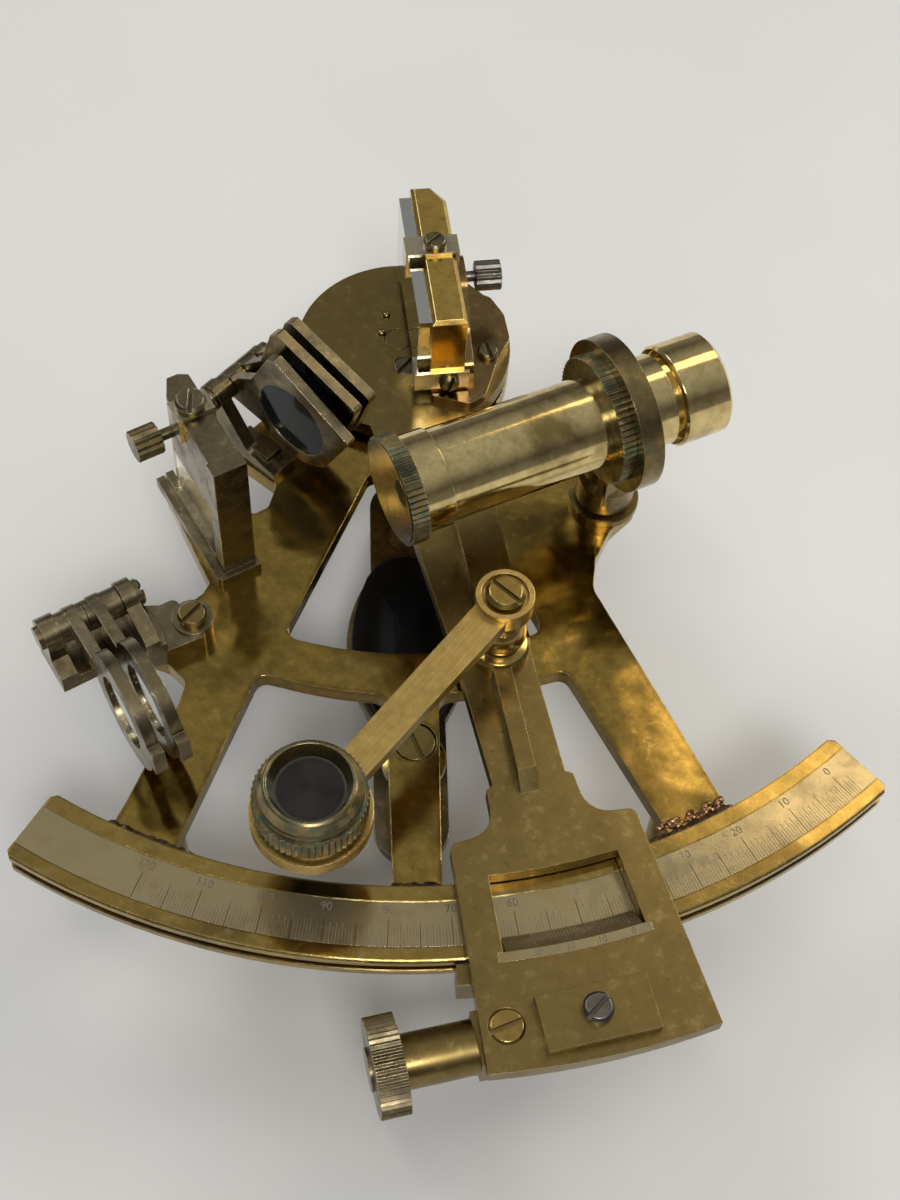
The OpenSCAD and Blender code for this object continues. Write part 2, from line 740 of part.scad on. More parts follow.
module telescope_flange() color(bronze) scope_frame() difference() {
    translate([0, 0, flange_s]) knurled(20.2, flange_l, 66);
    translate([0, 0, flange_s - 1]) cylinder(d = scope_d, h = flange_l + 2);
}

module objective_cap() color(bronze) scope_frame() difference() {
    knurled(cap_d, cap_l, 58);
    translate([0, 0, 1.2]) cylinder(d = scope_d + 0.8, h = cap_l);
    translate([1.5, 0, -1]) cylinder(r = 1.3, h = 3);
}

module objective_lens() color(clear_glass) scope_frame()
    translate([0, 0, 4]) cylinder(r = bore_r, h = 2);

draw_r = bore_r - 0.05;
eye_bore = draw_r - 1;
eye_s = tube_end + 1;
module draw_tube() color(pale) scope_frame() difference() {
    translate([0, 0, tube_end - 18]) cylinder(r = draw_r, h = 20);
    translate([0, 0, tube_end - 19]) cylinder(r = eye_bore, h = 24);
}

module eyecap() color(pale) scope_frame()
    rotate_extrude()
        polygon([
            [2.2, tube_end + 2], [draw_r, tube_end + 2], [draw_r, eye_s],
            [eye_d / 2 - 0.4, eye_s], [eye_d / 2, eye_s + 0.4], [eye_d / 2, eye_s + eye_l - 0.5],
            [eye_d / 2 - 0.5, eye_s + eye_l], [eye_d / 2 - 1.2, eye_s + eye_l - 0.2],
            [eye_d / 2 - 1.5, eye_s + 2.6], [2.2, eye_s + 1.9]
        ]);

module eye_lens() color(clear_glass) scope_frame()
    translate([0, 0, tube_end]) cylinder(r = eye_bore, h = 1.8);

// Index arm

head_screw = [-0.7, -4.3];
plug_spot = [-0.7, 1.5];
plug_r = 2.2;
pin_spots = [[-1.5, 7], [-3.1, 3.3]];

arm_side = [
    [9.5, -12, 0], [7.7, -27, 10], [7, -38, 0], [5.65, -64, 0], [5.45, -arc_r_in + 13.6, 0],
    [6.5, -arc_r_in + 13, 0], [7, -arc_r_in + 6.4, 4], [13.7, -arc_r_in + 5.8, 1.2],
    [16.7, -arm_r_end - 4, 0]
];
window_top = arc_r_in + 0.4;
window_end = arc_r_out + 1;
vernier_in = strip_r_out - 0.3;
vernier_flat = arc_r_out + 0.4;
vernier_out = arc_r_out + 1.8;
slot_half = 1.8;
post_base = 4.7;
post_x = 1;
shaft_in = 1.6;
slide_r = tangent_r + 0.9;
bearing_screw = [-12.3, -tangent_r - 0.1];
rib_end = arc_r_in - 14.2;

module window_shape()
    polygon(rounded(concat(
        arc_points(window_top, -5.6, 5.6), arc_points(window_end, 5.4, -5.4)
    )));

module index_arm() color(aged) arm_frame() difference() {
    union() {
        translate([0, 0, arm_z]) linear_extrude(arm_t) intersection() {
            union() {
                circle(head_r);
                polygon(rounded(concat(mirrored(arm_side), arm_side)));
            }
            circle(arm_r_end, $fn = 180);
        }
        // raised band down to the post, and the narrow rib with a sloped end below it
        intersection() {
            side_wall(2 * post_r)
                polygon([
                    [18, arm_top - 0.5], [21, rib_top], [rib_end, rib_top],
                    [rib_end + 2.8, arm_top], [rib_end + 2.8, arm_top - 0.5]
                ]);
            translate([0, 0, arm_z]) linear_extrude(2 * rib_h + arm_t) {
                polygon([
                    [6.2, 0], [6.2, -38], [5.7, -post_r], [-0.8, -post_r], [-0.4, -38], [-0.4, 0]
                ]);
                polygon([
                    [0.5 + rib_w / 2, -post_r], [-0.5 + rib_w / 2, -rib_end - 4],
                    [-0.5 - rib_w / 2, -rib_end - 4], [0.5 - rib_w / 2, -post_r]
                ]);
            }
        }
        // two domed pins in the head
        for (p = pin_spots) translate([p.x, p.y, arm_top]) sphere(0.75);
    }
    // groove around the plug in the head
    translate([plug_spot.x, plug_spot.y, arm_top - 0.3]) difference() {
        cylinder(r = plug_r + 0.12, h = 1);
        cylinder(r = plug_r, h = 1);
    }
    translate([0, 0, arm_z - 1]) linear_extrude(arm_t + 2) window_shape();
    // seat of the vernier's flat
    sector(-5.8, 5.8) translate([vernier_flat, arm_top - inlay_t])
        square([vernier_out - vernier_flat, 1]);
    translate([0, 0, arm_z - 1]) cylinder(d = shaft_d, h = shaft_in + 1);
    // seat of the magnifier's post
    translate([post_x, -post_r, arm_top]) cylinder(r = post_base, h = 10);
    translate([post_x, -post_r, 0]) cylinder(r = 1.5, h = 60);
    // slot for the clamp block's tongue
    translate([-3.7, -slide_r - slot_half, 0]) cube([9, 2 * slot_half, 60]);
    translate([bearing_screw.x, bearing_screw.y, 0]) cylinder(r = 1.3, h = 60);
    translate([bearing_screw.x, bearing_screw.y, arm_top - 0.9]) cylinder(r = 2.55, h = 2);
    // seat of the flush screw in the head
    translate([head_screw.x, head_screw.y, arm_top - 0.8]) cylinder(r = 2, h = 2);
    translate([head_screw.x, head_screw.y, arm_z - 1]) cylinder(r = 1.2, h = 3);
}

module pivot_shaft() color(golden) placed() {
    translate([0, 0, leg_h - 14]) cylinder(d = shaft_d, h = arm_z + shaft_in - leg_h + 14);
    translate([0, 0, leg_h - 15.6])
        rotate_extrude()
            polygon([[0, 0], [3.4, 0], [4.6, 1.2], [4.6, 3.5], [0, 3.5]]);
}

module vernier() color(silver) arm_frame() {
    sector(-5.2, 5.2)
        polygon([
            [vernier_in, arm_z + 0.05], [vernier_in, arm_z + 0.25], [vernier_flat, arm_top],
            [window_end - 0.05, arm_top], [window_end - 0.05, arm_z + 0.05]
        ]);
    sector(-5.8, 5.8) translate([vernier_flat, arm_top - inlay_t])
        square([vernier_out - vernier_flat, inlay_t]);
}

// Index mirror

idx_x = 2.94;
idx_w = 5.6;
idx_near = -11;
idx_far = 19;
idx_low = arm_top + 1.6;
idx_top = idx_low + 16.1;
idx_screw_y = 4.9;
idx_screw_z = idx_low + 8.9;
back_x = 8.8;
back_t = 1.6;
clip_y = 5.2;

module index_mirror_bracket() color(bronze) index_frame() difference() {
    union() {
        translate([0, 0, arm_top]) linear_extrude(idx_low - arm_top)
            polygon(rounded([
                [3.2, -12.4, 0.5], [9.4, -14.8, 2], [12.2, -12.8, 2], [15.4, -5.2, 1.2],
                [17.8, -1.6, 2], [17.6, 3.8, 3], [15.6, 8.4, 2], [10.4, 9, 1],
                [3.2, 9.5, 0.5]
            ]));
        // upright behind the housing
        translate([back_x, 0, 0]) rotate([90, 0, 90]) linear_extrude(back_t)
            polygon(rounded([
                [-10, arm_top, 0], [9.5, arm_top, 0], [9.5, idx_low + 4.4, 3],
                [8, idx_low + 11.8, 2.5], [1.6, idx_low + 11.8, 2.5], [-4, idx_low + 5.4, 4],
                [-10, idx_low + 3.4, 2]
            ]));
    }
    translate([0, idx_screw_y, idx_screw_z]) boss_x(0.9 + fit, 0, 20);
    translate([13.6, -4.4, arm_top]) cylinder(r = 0.9, h = 20);
}

module index_mirror_housing() color(bronze) index_frame() difference() {
    hull() {
        translate([0, 0, idx_low]) linear_extrude(idx_top - idx_low - 0.6) housing_plan(0);
        translate([0, 0, idx_low]) linear_extrude(idx_top - idx_low) housing_plan(0.6);
    }
    translate([5.33, clip_y, idx_top - 4]) cylinder(r = 0.9, h = 5);
    translate([6, idx_near + 3, idx_low + 2.4]) rotate([90, 0, 0]) cylinder(r = 0.8, h = 4);
}

module housing_plan(inset)
    polygon([
        [idx_x + inset, idx_near + inset], [idx_x + idx_w - inset, idx_near + inset],
        [idx_x + idx_w - inset, 15.8 - inset], [idx_x + 3.4 - inset / 2, idx_far - inset],
        [idx_x + inset, idx_far - inset]
    ]);

module index_mirror_glass() color(silver) index_frame()
    translate([idx_x - glass_t, idx_near + 1.4, idx_low + 0.4])
        cube([glass_t, 27.4, 14.4]);

module index_mirror_clips() color(silver) index_frame() difference() {
    union() {
        // over the top
        translate([idx_x - glass_t - 0.6, clip_y - 2, idx_top - 4.6]) cube([0.6, 4, 5.2]);
        translate([idx_x - glass_t - 0.6, clip_y - 2, idx_top])
            cube([idx_w + glass_t + 1.2, 4, 0.6]);
        translate([idx_x + idx_w, clip_y - 2, idx_top - 2.6]) cube([0.6, 4, 3.2]);
        // round the near end
        translate([idx_x - glass_t - 0.6, idx_near - 0.6, idx_low + 0.6]) cube([9, 0.6, 3.8]);
        translate([idx_x - glass_t - 0.6, idx_near - 0.6, idx_low + 0.6]) cube([0.6, 4, 3.8]);
    }
    translate([5.33, clip_y, idx_top - 4]) cylinder(r = 0.9, h = 5);
    translate([6, idx_near + 3, idx_low + 2.4]) rotate([90, 0, 0]) cylinder(r = 0.8, h = 4);
}

module index_mirror_screws() color(bronze) index_frame() {
    translate([5.33, clip_y, idx_top + 0.6]) slot_screw(3.9, 1.3, 1.8, 3.6, 40);
    translate([6, idx_near - 0.6, idx_low + 2.4]) rotate([90, 0, 0]) slot_screw(3.3, 1.1, 1.6, 3, 70);
    translate([13.6, -4.4, idx_low]) slot_screw(3.5, 1.1, 1.8, 1.5, 100);
    rotate([0, 0, arm_angle - index_dir]) translate([head_screw.x, head_screw.y, arm_top - 0.8])
        slot_screw(4, 0.8, 2.4, 1.2, 40);
}

module index_adjust_screw() color(bronze) index_frame()
    translate([idx_x + idx_w + play, idx_screw_y, idx_screw_z])
        rotate([0, 90, 0]) thumb_screw(5, 4.2, 1.8, 3.6, 14);

// Magnifier

swing_z = arm_top + 12.2;
swing_t = 2.2;
post_top = swing_z - play / 2;
post_spigot = 1.75;
holder_r = 8.4;
cup_r = 4.3;
cup_h = 1.1;
cell_low = swing_z + 2.5;
cell_top = cell_low + 8;
cell_neck = 6.3;
cell_rim = 6;
lens_r = 4.8;
lens_top = cell_top - 2;

module post_frame() arm_frame() translate([post_x, -post_r, 0]) children();
module swing_frame() post_frame() rotate([0, 0, swing_dir - arm_angle]) children();

module magnifier_post() color(golden) post_frame() difference() {
    union() {
        rotate_extrude()
            polygon([
                [0, arm_top], [post_base, arm_top], [post_base, arm_top + 1.8],
                [post_base - 0.5, arm_top + 2.3], [3.2, arm_top + 2.6], [2.6, post_top - 3],
                [cup_r - 0.6, post_top - 1.6], [cup_r - 0.3, post_top], [0, post_top]
            ]);
        // turned bead
        translate([0, 0, arm_top + 5.6]) rotate_extrude() intersection() {
            circle(3.9);
            translate([0, -2.8]) square([5, 5.4]);
        }
        translate([0, 0, arm_top]) cylinder(r = post_spigot, h = swing_z + swing_t + play / 2 - arm_top);
        translate([0, 0, arm_z]) cylinder(r = 1.5, h = 5);
    }
    translate([0, 0, swing_z - 2.5]) cylinder(r = 1, h = 10);
}

module magnifier_arm() color(golden) swing_frame() difference() {
    union() {
        translate([0, 0, swing_z]) linear_extrude(swing_t) {
            circle(cup_r);
            polygon([
                [-2.7, 0], [2.7, 0], [2.5, -swing_l + 6], [-2.5, -swing_l + 6]
            ]);
        }
        translate([0, -swing_l, swing_z]) cylinder(r = holder_r, h = cell_low - swing_z);
        // cup around the pivot screw
        translate([0, 0, swing_z]) cylinder(r = cup_r, h = swing_t + cup_h);
    }
    translate([0, 0, swing_z + swing_t]) cylinder(r = cup_r - 0.8, h = 5);
    translate([0, 0, swing_z - 1]) cylinder(r = post_spigot + fit, h = 5);
    translate([0, -swing_l, swing_z - 1]) cylinder(r = cell_neck + fit, h = 5);
}

module magnifier_pivot_screw() color(aged) post_frame()
    translate([0, 0, swing_z + swing_t + play / 2]) slot_screw(5.9, 2, 2, 4.5, 125);

module magnifier_cell() color(bronze) swing_frame() translate([0, -swing_l, 0]) difference() {
    union() {
        translate([0, 0, swing_z - 2.4]) cylinder(r = cell_neck, h = 6);
        translate([0, 0, cell_low]) rotate_extrude()
            polygon([
                [0, 0], [cell_d / 2 - 0.6, 0], [cell_d / 2 - 0.6, 5.9], [cell_d / 2 - 0.9, 6.2],
                [cell_rim + 0.5, cell_top - cell_low - 0.8],
                [cell_rim + 0.3, cell_top - cell_low - 0.2],
                [cell_rim, cell_top - cell_low], [0, cell_top - cell_low]
            ]);
        translate([0, 0, cell_low + 1.2]) knurled(cell_d, 3.6, 54, 0.3);
    }
    translate([0, 0, swing_z - 3]) cylinder(r = lens_r, h = 20);
    translate([0, 0, lens_top]) cylinder(r1 = lens_r, r2 = cell_rim - 0.3, h = cell_top - lens_top + 0.01);
}

module magnifier_lens() color(clear_glass) swing_frame()
    translate([0, -swing_l, lens_top - 2.2]) cylinder(r = lens_r, h = 2.2);

// Fine adjustment: x runs along the tangent screw

tangent_z = leg_h + 1;
screw_r = 1.6;
barrel_r = 3.8;
barrel_x = -26.5;
block_x = -16.4;
shoe_r_in = arc_r_out + 0.6;
clamp_top = arm_z - play;
clamp_spot = [5.6, -tangent_r + 4.6];
clamp_r = 1.3;

module tangent_frame() arm_frame() translate([0, -tangent_r, tangent_z]) children();

module tangent_bearing() color(aged) difference() {
    union() {
        tangent_frame() boss_x(barrel_r, barrel_x, block_x);
        arm_frame() translate([block_x, -tangent_r - barrel_r, tangent_z - barrel_r])
            cube([7.8, 2 * barrel_r, arm_z - tangent_z + barrel_r]);
    }
    tangent_frame() boss_x(screw_r + fit, barrel_x - 1, 0);
    arm_frame() translate([bearing_screw.x, bearing_screw.y, tangent_z + 2.1])
        cylinder(r = 1.3, h = 3);
}

module tangent_bearing_screw() color(aged) arm_frame()
    translate([bearing_screw.x, bearing_screw.y, arm_top - 0.9])
        slot_screw(5.1, 1.2, 2.6, arm_top - 0.9 - tangent_z - 2.1, 10);

module tangent_screw() color(bronze) tangent_frame() {
    translate([barrel_x - play - knob_t, 0, 0]) rotate([0, 90, 0]) knurled(knob_d, knob_t, 50);
    boss_x(screw_r, barrel_x - play - 0.1, 6.5);
    boss_x(3, barrel_x - play - knob_t - 0.5, barrel_x - play - knob_t);
}

module clamp_block() color(aged) difference() {
    union() {
        // shoe that follows the arc's rim
        arm_frame() sector(-8.8, 6.4)
            translate([shoe_r_in, arc_low - 0.6]) square([3, clamp_top - arc_low + 0.6]);
        arm_frame() translate([-4.5, -tangent_r - 4.4, tangent_z - 4.4])
            cube([13.4, 12.8, clamp_top - tangent_z + 4.4]);
        arm_frame() translate([-2.5, -slide_r - slot_half + play, clamp_top - 0.1])
            cube([5, 2 * slot_half - 2 * play, arm_top - clamp_top + 0.1]);
    }
    tangent_frame() boss_x(screw_r + fit, -5, 9.5);
    arm_frame() translate([clamp_spot.x, clamp_spot.y, tangent_z - 5]) cylinder(r = clamp_r + fit, h = 7);
    arm_frame() translate([0, -slide_r, arm_top - 3.6]) cylinder(r = 1.1, h = 5);
}

module slide_plate() color(golden) arm_frame() difference() {
    translate([-7.9, -slide_r - 4.3, arm_top + play / 2]) cube([15.8, 7.9, 1.4]);
    translate([0, -slide_r, arm_top]) cylinder(r = 1.1, h = 5);
}

module slide_screw() color(aged) arm_frame()
    translate([0, -slide_r, arm_top + play / 2 + 1.4]) slot_screw(4.3, 1.3, 2.2, 4.6, 35);

module clamp_screw() color(bronze) arm_frame()
    translate([clamp_spot.x, clamp_spot.y, tangent_z - 12]) {
        knurled(8, 4.5, 26);
        cylinder(r = clamp_r, h = 13.6);
        translate([0, 0, 4.5]) cylinder(r = 2.6, h = 3);
    }

frame_plate();
arc();
scale_strip();
legs();
handle_tang();
grip_scales();
handle_pillars();
frame_screws();
pivot_bearing();
telescope_foot();
horizon_bracket();
horizon_housing();
horizon_glass();
horizon_clip();
horizon_clip_screw();
horizon_adjust_screw();
index_shade_bracket();
index_shade_pin();
index_shade_1();
index_shade_2();
index_shade_3();
index_shade_glass_1();
index_shade_glass_2();
index_shade_glass_3();
horizon_shade_bracket();
horizon_shade_pin();
horizon_shade_1();
horizon_shade_2();
horizon_shade_glass_1();
horizon_shade_glass_2();
telescope_collar();
telescope_tube();
telescope_flange();
objective_cap();
objective_lens();
draw_tube();
eyecap();
eye_lens();
index_arm();
pivot_shaft();
vernier();
index_mirror_bracket();
index_mirror_housing();
index_mirror_glass();
index_mirror_clips();
index_mirror_screws();
index_adjust_screw();
magnifier_post();
magnifier_arm();
magnifier_pivot_screw();
magnifier_cell();
magnifier_lens();
tangent_bearing();
tangent_bearing_screw();
tangent_screw();
clamp_block();
slide_plate();
slide_screw();
clamp_screw();
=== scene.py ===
"""Looks of a small brass sextant: its finishes, engraved scales, solder and studio."""
import logging
import math
import random
from dataclasses import dataclass, field
from enum import Enum
from typing import Any, Iterable, Sequence

import bmesh
import bpy
from mathutils import Matrix, Vector


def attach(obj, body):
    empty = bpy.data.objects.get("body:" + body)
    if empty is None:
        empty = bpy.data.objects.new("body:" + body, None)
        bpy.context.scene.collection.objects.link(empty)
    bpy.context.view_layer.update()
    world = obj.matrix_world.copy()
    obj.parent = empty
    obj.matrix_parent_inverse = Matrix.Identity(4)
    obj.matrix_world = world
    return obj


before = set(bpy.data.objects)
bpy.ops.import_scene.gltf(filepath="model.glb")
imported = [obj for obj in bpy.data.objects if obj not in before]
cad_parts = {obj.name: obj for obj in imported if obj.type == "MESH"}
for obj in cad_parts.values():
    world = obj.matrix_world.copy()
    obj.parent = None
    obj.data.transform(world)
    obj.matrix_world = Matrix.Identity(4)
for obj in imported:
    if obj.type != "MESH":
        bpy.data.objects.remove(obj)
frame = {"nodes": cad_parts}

Colour = tuple[float, float, float]
Point = tuple[float, float, float]
Piece = bpy.types.Object
Shape = bmesh.types.BMesh
Socket = bpy.types.NodeSocket
Value = Socket | float

LOG = logging.getLogger("sextant")

# Sizes are written in mm and angles in degrees.
# Places that are vectors are in metres, and so are the lamps and the table.
MM = 0.001
PIVOT = Vector((-5.78, 54.49, 0.0)) * MM
ARM_ANGLE = 11.4
ARC_TOP = 28.0
ARM_TOP = 31.0
ENGRAVING_LIFT = 0.004
# Right, down and ahead of the camera, as fitted to the photograph.
CAMERA_ROWS: tuple[Point, Point, Point] = (
    (0.998389, -0.035161, 0.044522),
    (-0.006055, -0.846346, -0.532599),
    (0.056408, 0.531471, -0.845196),
)


class Body(Enum):
    """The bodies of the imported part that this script's own pieces ride on."""

    FRAME = "frame"
    ARM = "arm"
    TELESCOPE = "telescope"


def polar(radius: float, angle: float, height: float) -> Vector:
    """Gives a place round the pivot, in metres.

    Args:
        radius: distance from the pivot, in mm.
        angle: degrees from -Y towards +X.
        height: height above the table, in mm.

    Returns:
        The place in the frame of the part.
    """
    turn = math.radians(angle)
    return PIVOT + Vector((radius * math.sin(turn), -radius * math.cos(turn), height)) * MM


def darker(colour: Colour, share: float) -> Colour:
    """Gives a share of a colour's light."""
    return tuple(share * part for part in colour)


class Graph:
    """The nodes of one material, written a line at a time."""

    # Numbers of the Mix node's colour inputs and of its colour output.
    MIX_INPUTS: tuple[int, int] = (6, 7)
    MIX_OUTPUT: int = 2
    # Cosine between the true and the rounded normal, where an edge begins and where it is full.
    EDGE_SPAN: tuple[float, float] = (0.995, 0.86)
    # Open share of the view from a point, where a hollow begins and where it is full.
    HOLLOW_SPAN: tuple[float, float] = (0.78, 0.30)
    EDGE_SAMPLES: int = 4
    HOLLOW_SAMPLES: int = 6

    def __init__(self, name: str) -> None:
        """Starts a material with a Principled shader.

        Args:
            name: the material's name.
        """
        self.material = bpy.data.materials.new(name)
        self.material.use_nodes = True
        self.tree = self.material.node_tree
        self.shader = self.tree.nodes["Principled BSDF"]
        self.coord = self.add("ShaderNodeTexCoord").outputs["Object"]

    def add(self, kind: str, inputs: dict[str | int, Any] | None = None, **settings: Any) -> bpy.types.Node:
        """Adds one node.

        Args:
            kind: the node's type.
            inputs: values or sockets for its inputs, by name or number.
            settings: the node's own properties.

        Returns:
            The new node.
        """
        node = self.tree.nodes.new(kind)
        for key, value in settings.items():
            setattr(node, key, value)
        for key, value in (inputs or {}).items():
            self.put(node.inputs[key], value)
        return node

    def put(self, socket: Socket, value: Any) -> None:
        """Links or sets one input socket.

        Args:
            socket: the input.
            value: an output socket to link, or a value to set.
        """
        if isinstance(value, Socket):
            self.tree.links.new(value, socket)
        else:
            socket.default_value = value

    def set(self, **values: Any) -> None:
        """Sets inputs of the Principled shader.

        Args:
            values: values or sockets by the inputs' names, with _ for each space.
        """
        for key, value in values.items():
            self.put(self.shader.inputs[key.replace("_", " ")], value)

    def noise(self, size: float, detail: float = 4.0, rough: float = 0.55, warp: float = 0.0,
              vector: Socket | None = None) -> Socket:
        """Gives a noise.

        Args:
            size: about how wide its lumps are, in mm.
            detail: how many finer layers it has.
            rough: how strong the finer layers are.
            warp: how far it is distorted.
            vector: its coordinates, where they aren't the object's own.

        Returns:
            The noise, from 0 to 1.
        """
        node = self.add("ShaderNodeTexNoise", {
            "Vector": vector or self.coord, "Scale": 1.0 / (size * MM), "Detail": detail, "Roughness": rough,
            "Distortion": warp})
        return node.outputs["Fac"]

    def grain(self, width: float, stretch: float, turn: Sequence[float]) -> Socket:
        """Gives a noise of long streaks.

        Args:
            width: width of a streak, in mm.
            stretch: its length beside its width.
            turn: its direction, as angles in degrees that turn it from +X.

        Returns:
            The noise, from 0 to 1.
        """
        angles = tuple(math.radians(angle) for angle in turn)
        inputs = {0: self.coord, "Scale": (stretch, 1.0, 1.0), "Rotation": angles}
        node = self.add("ShaderNodeMapping", inputs, vector_type="TEXTURE")
        return self.noise(width, detail=3.0, rough=0.55, vector=node.outputs[0])

    def span(self, value: Value, low: float, high: float, to_low: float = 0.0,
             to_high: float = 1.0) -> Socket:
        """Stretches a value, smoothly at both ends.

        Args:
            value: the value.
            low: where the stretch begins. It may lie above high.
            high: where it ends.
            to_low: the result at low and beyond it.
            to_high: the result at high and beyond it.

        Returns:
            The stretched value.
        """
        node = self.add("ShaderNodeMapRange", {0: value, 1: low, 2: high, 3: to_low, 4: to_high},
                        interpolation_type="SMOOTHSTEP")
        return node.outputs[0]

    def times(self, first: Value, second: Value) -> Socket:
        """Gives the product of two values."""
        return self.add("ShaderNodeMath", {0: first, 1: second}, operation="MULTIPLY").outputs[0]

    def plus(self, first: Value, second: Value) -> Socket:
        """Gives the sum of two values."""
        return self.add("ShaderNodeMath", {0: first, 1: second}, operation="ADD").outputs[0]

    def mix(self, share: Value, first: Socket | Colour, second: Socket | Colour) -> Socket:
        """Mixes two colours.

        Args:
            share: the second colour's share, from 0 to 1.
            first: the colour where the share is 0.
            second: the colour where the share is 1.

        Returns:
            The mixed colour.
        """
        node = self.add("ShaderNodeMix", {0: share}, data_type="RGBA")
        for place, colour in zip(self.MIX_INPUTS, (first, second)):
            self.put(node.inputs[place], (*colour, 1.0) if isinstance(colour, tuple) else colour)
        return node.outputs[self.MIX_OUTPUT]

    def edges(self, radius: float) -> tuple[Socket, Socket]:
        """Finds the edges of a piece.

        Args:
            radius: how far from the edge it reaches, in mm.

        Returns:
            The rounded normal, and a mask that is 1 at the edges.
        """
        soft = self.add("ShaderNodeBevel", {"Radius": radius * MM}, samples=self.EDGE_SAMPLES).outputs[0]
        true = self.add("ShaderNodeNewGeometry").outputs["Normal"]
        along = self.add("ShaderNodeVectorMath", {0: soft, 1: true}, operation="DOT_PRODUCT")
        return soft, self.span(along.outputs["Value"], *self.EDGE_SPAN)

    def hollows(self, reach: float) -> Socket:
        """Finds the corners and hollows of a piece.

        Args:
            reach: how far it looks for a wall, in mm.

        Returns:
            A mask that is 1 in them.
        """
        node = self.add("ShaderNodeAmbientOcclusion", {"Distance": reach * MM}, samples=self.HOLLOW_SAMPLES,
                        only_local=True)
        return self.span(node.outputs["AO"], *self.HOLLOW_SPAN)

    def bump(self, height: Value, strength: float, depth: float, normal: Socket | None = None) -> Socket:
        """Gives a normal that follows a height.

        Args:
            height: the height.
            strength: how much of it shows, from 0 to 1.
            depth: what a height of 1 measures, in mm.
            normal: the normal that it starts from, where that isn't the face's own.

        Returns:
            The bent normal.
        """
        inputs: dict[str | int, Any] = {"Strength": strength, "Distance": depth * MM, "Height": height}
        if normal is not None:
            inputs["Normal"] = normal
        return self.add("ShaderNodeBump", inputs).outputs[0]


@dataclass(frozen=True)
class Finish:
    """A finish that can be put on pieces. Its material is made once."""

    name: str

    def shade(self, graph: Graph) -> None:
        """Writes the nodes of this finish.

        Args:
            graph: the material's nodes.
        """
        raise NotImplementedError

    def material(self) -> bpy.types.Material:
        """Gives the material, made at the first call.

        Returns:
            The material, under a name that none of the CAD's materials has.
        """
        own_name = f"look_{self.name}"
        made = bpy.data.materials.get(own_name)
        if made is None:
            graph = Graph(own_name)
            self.shade(graph)
            made = graph.material
        return made

    def dress(self, *pieces: Piece) -> None:
        """Puts the finish on every material slot of some pieces.

        Args:
            pieces: the pieces.
        """
        for piece in pieces:
            if not piece.material_slots:
                piece.data.materials.append(self.material())
            for place in piece.material_slots:
                place.material = self.material()


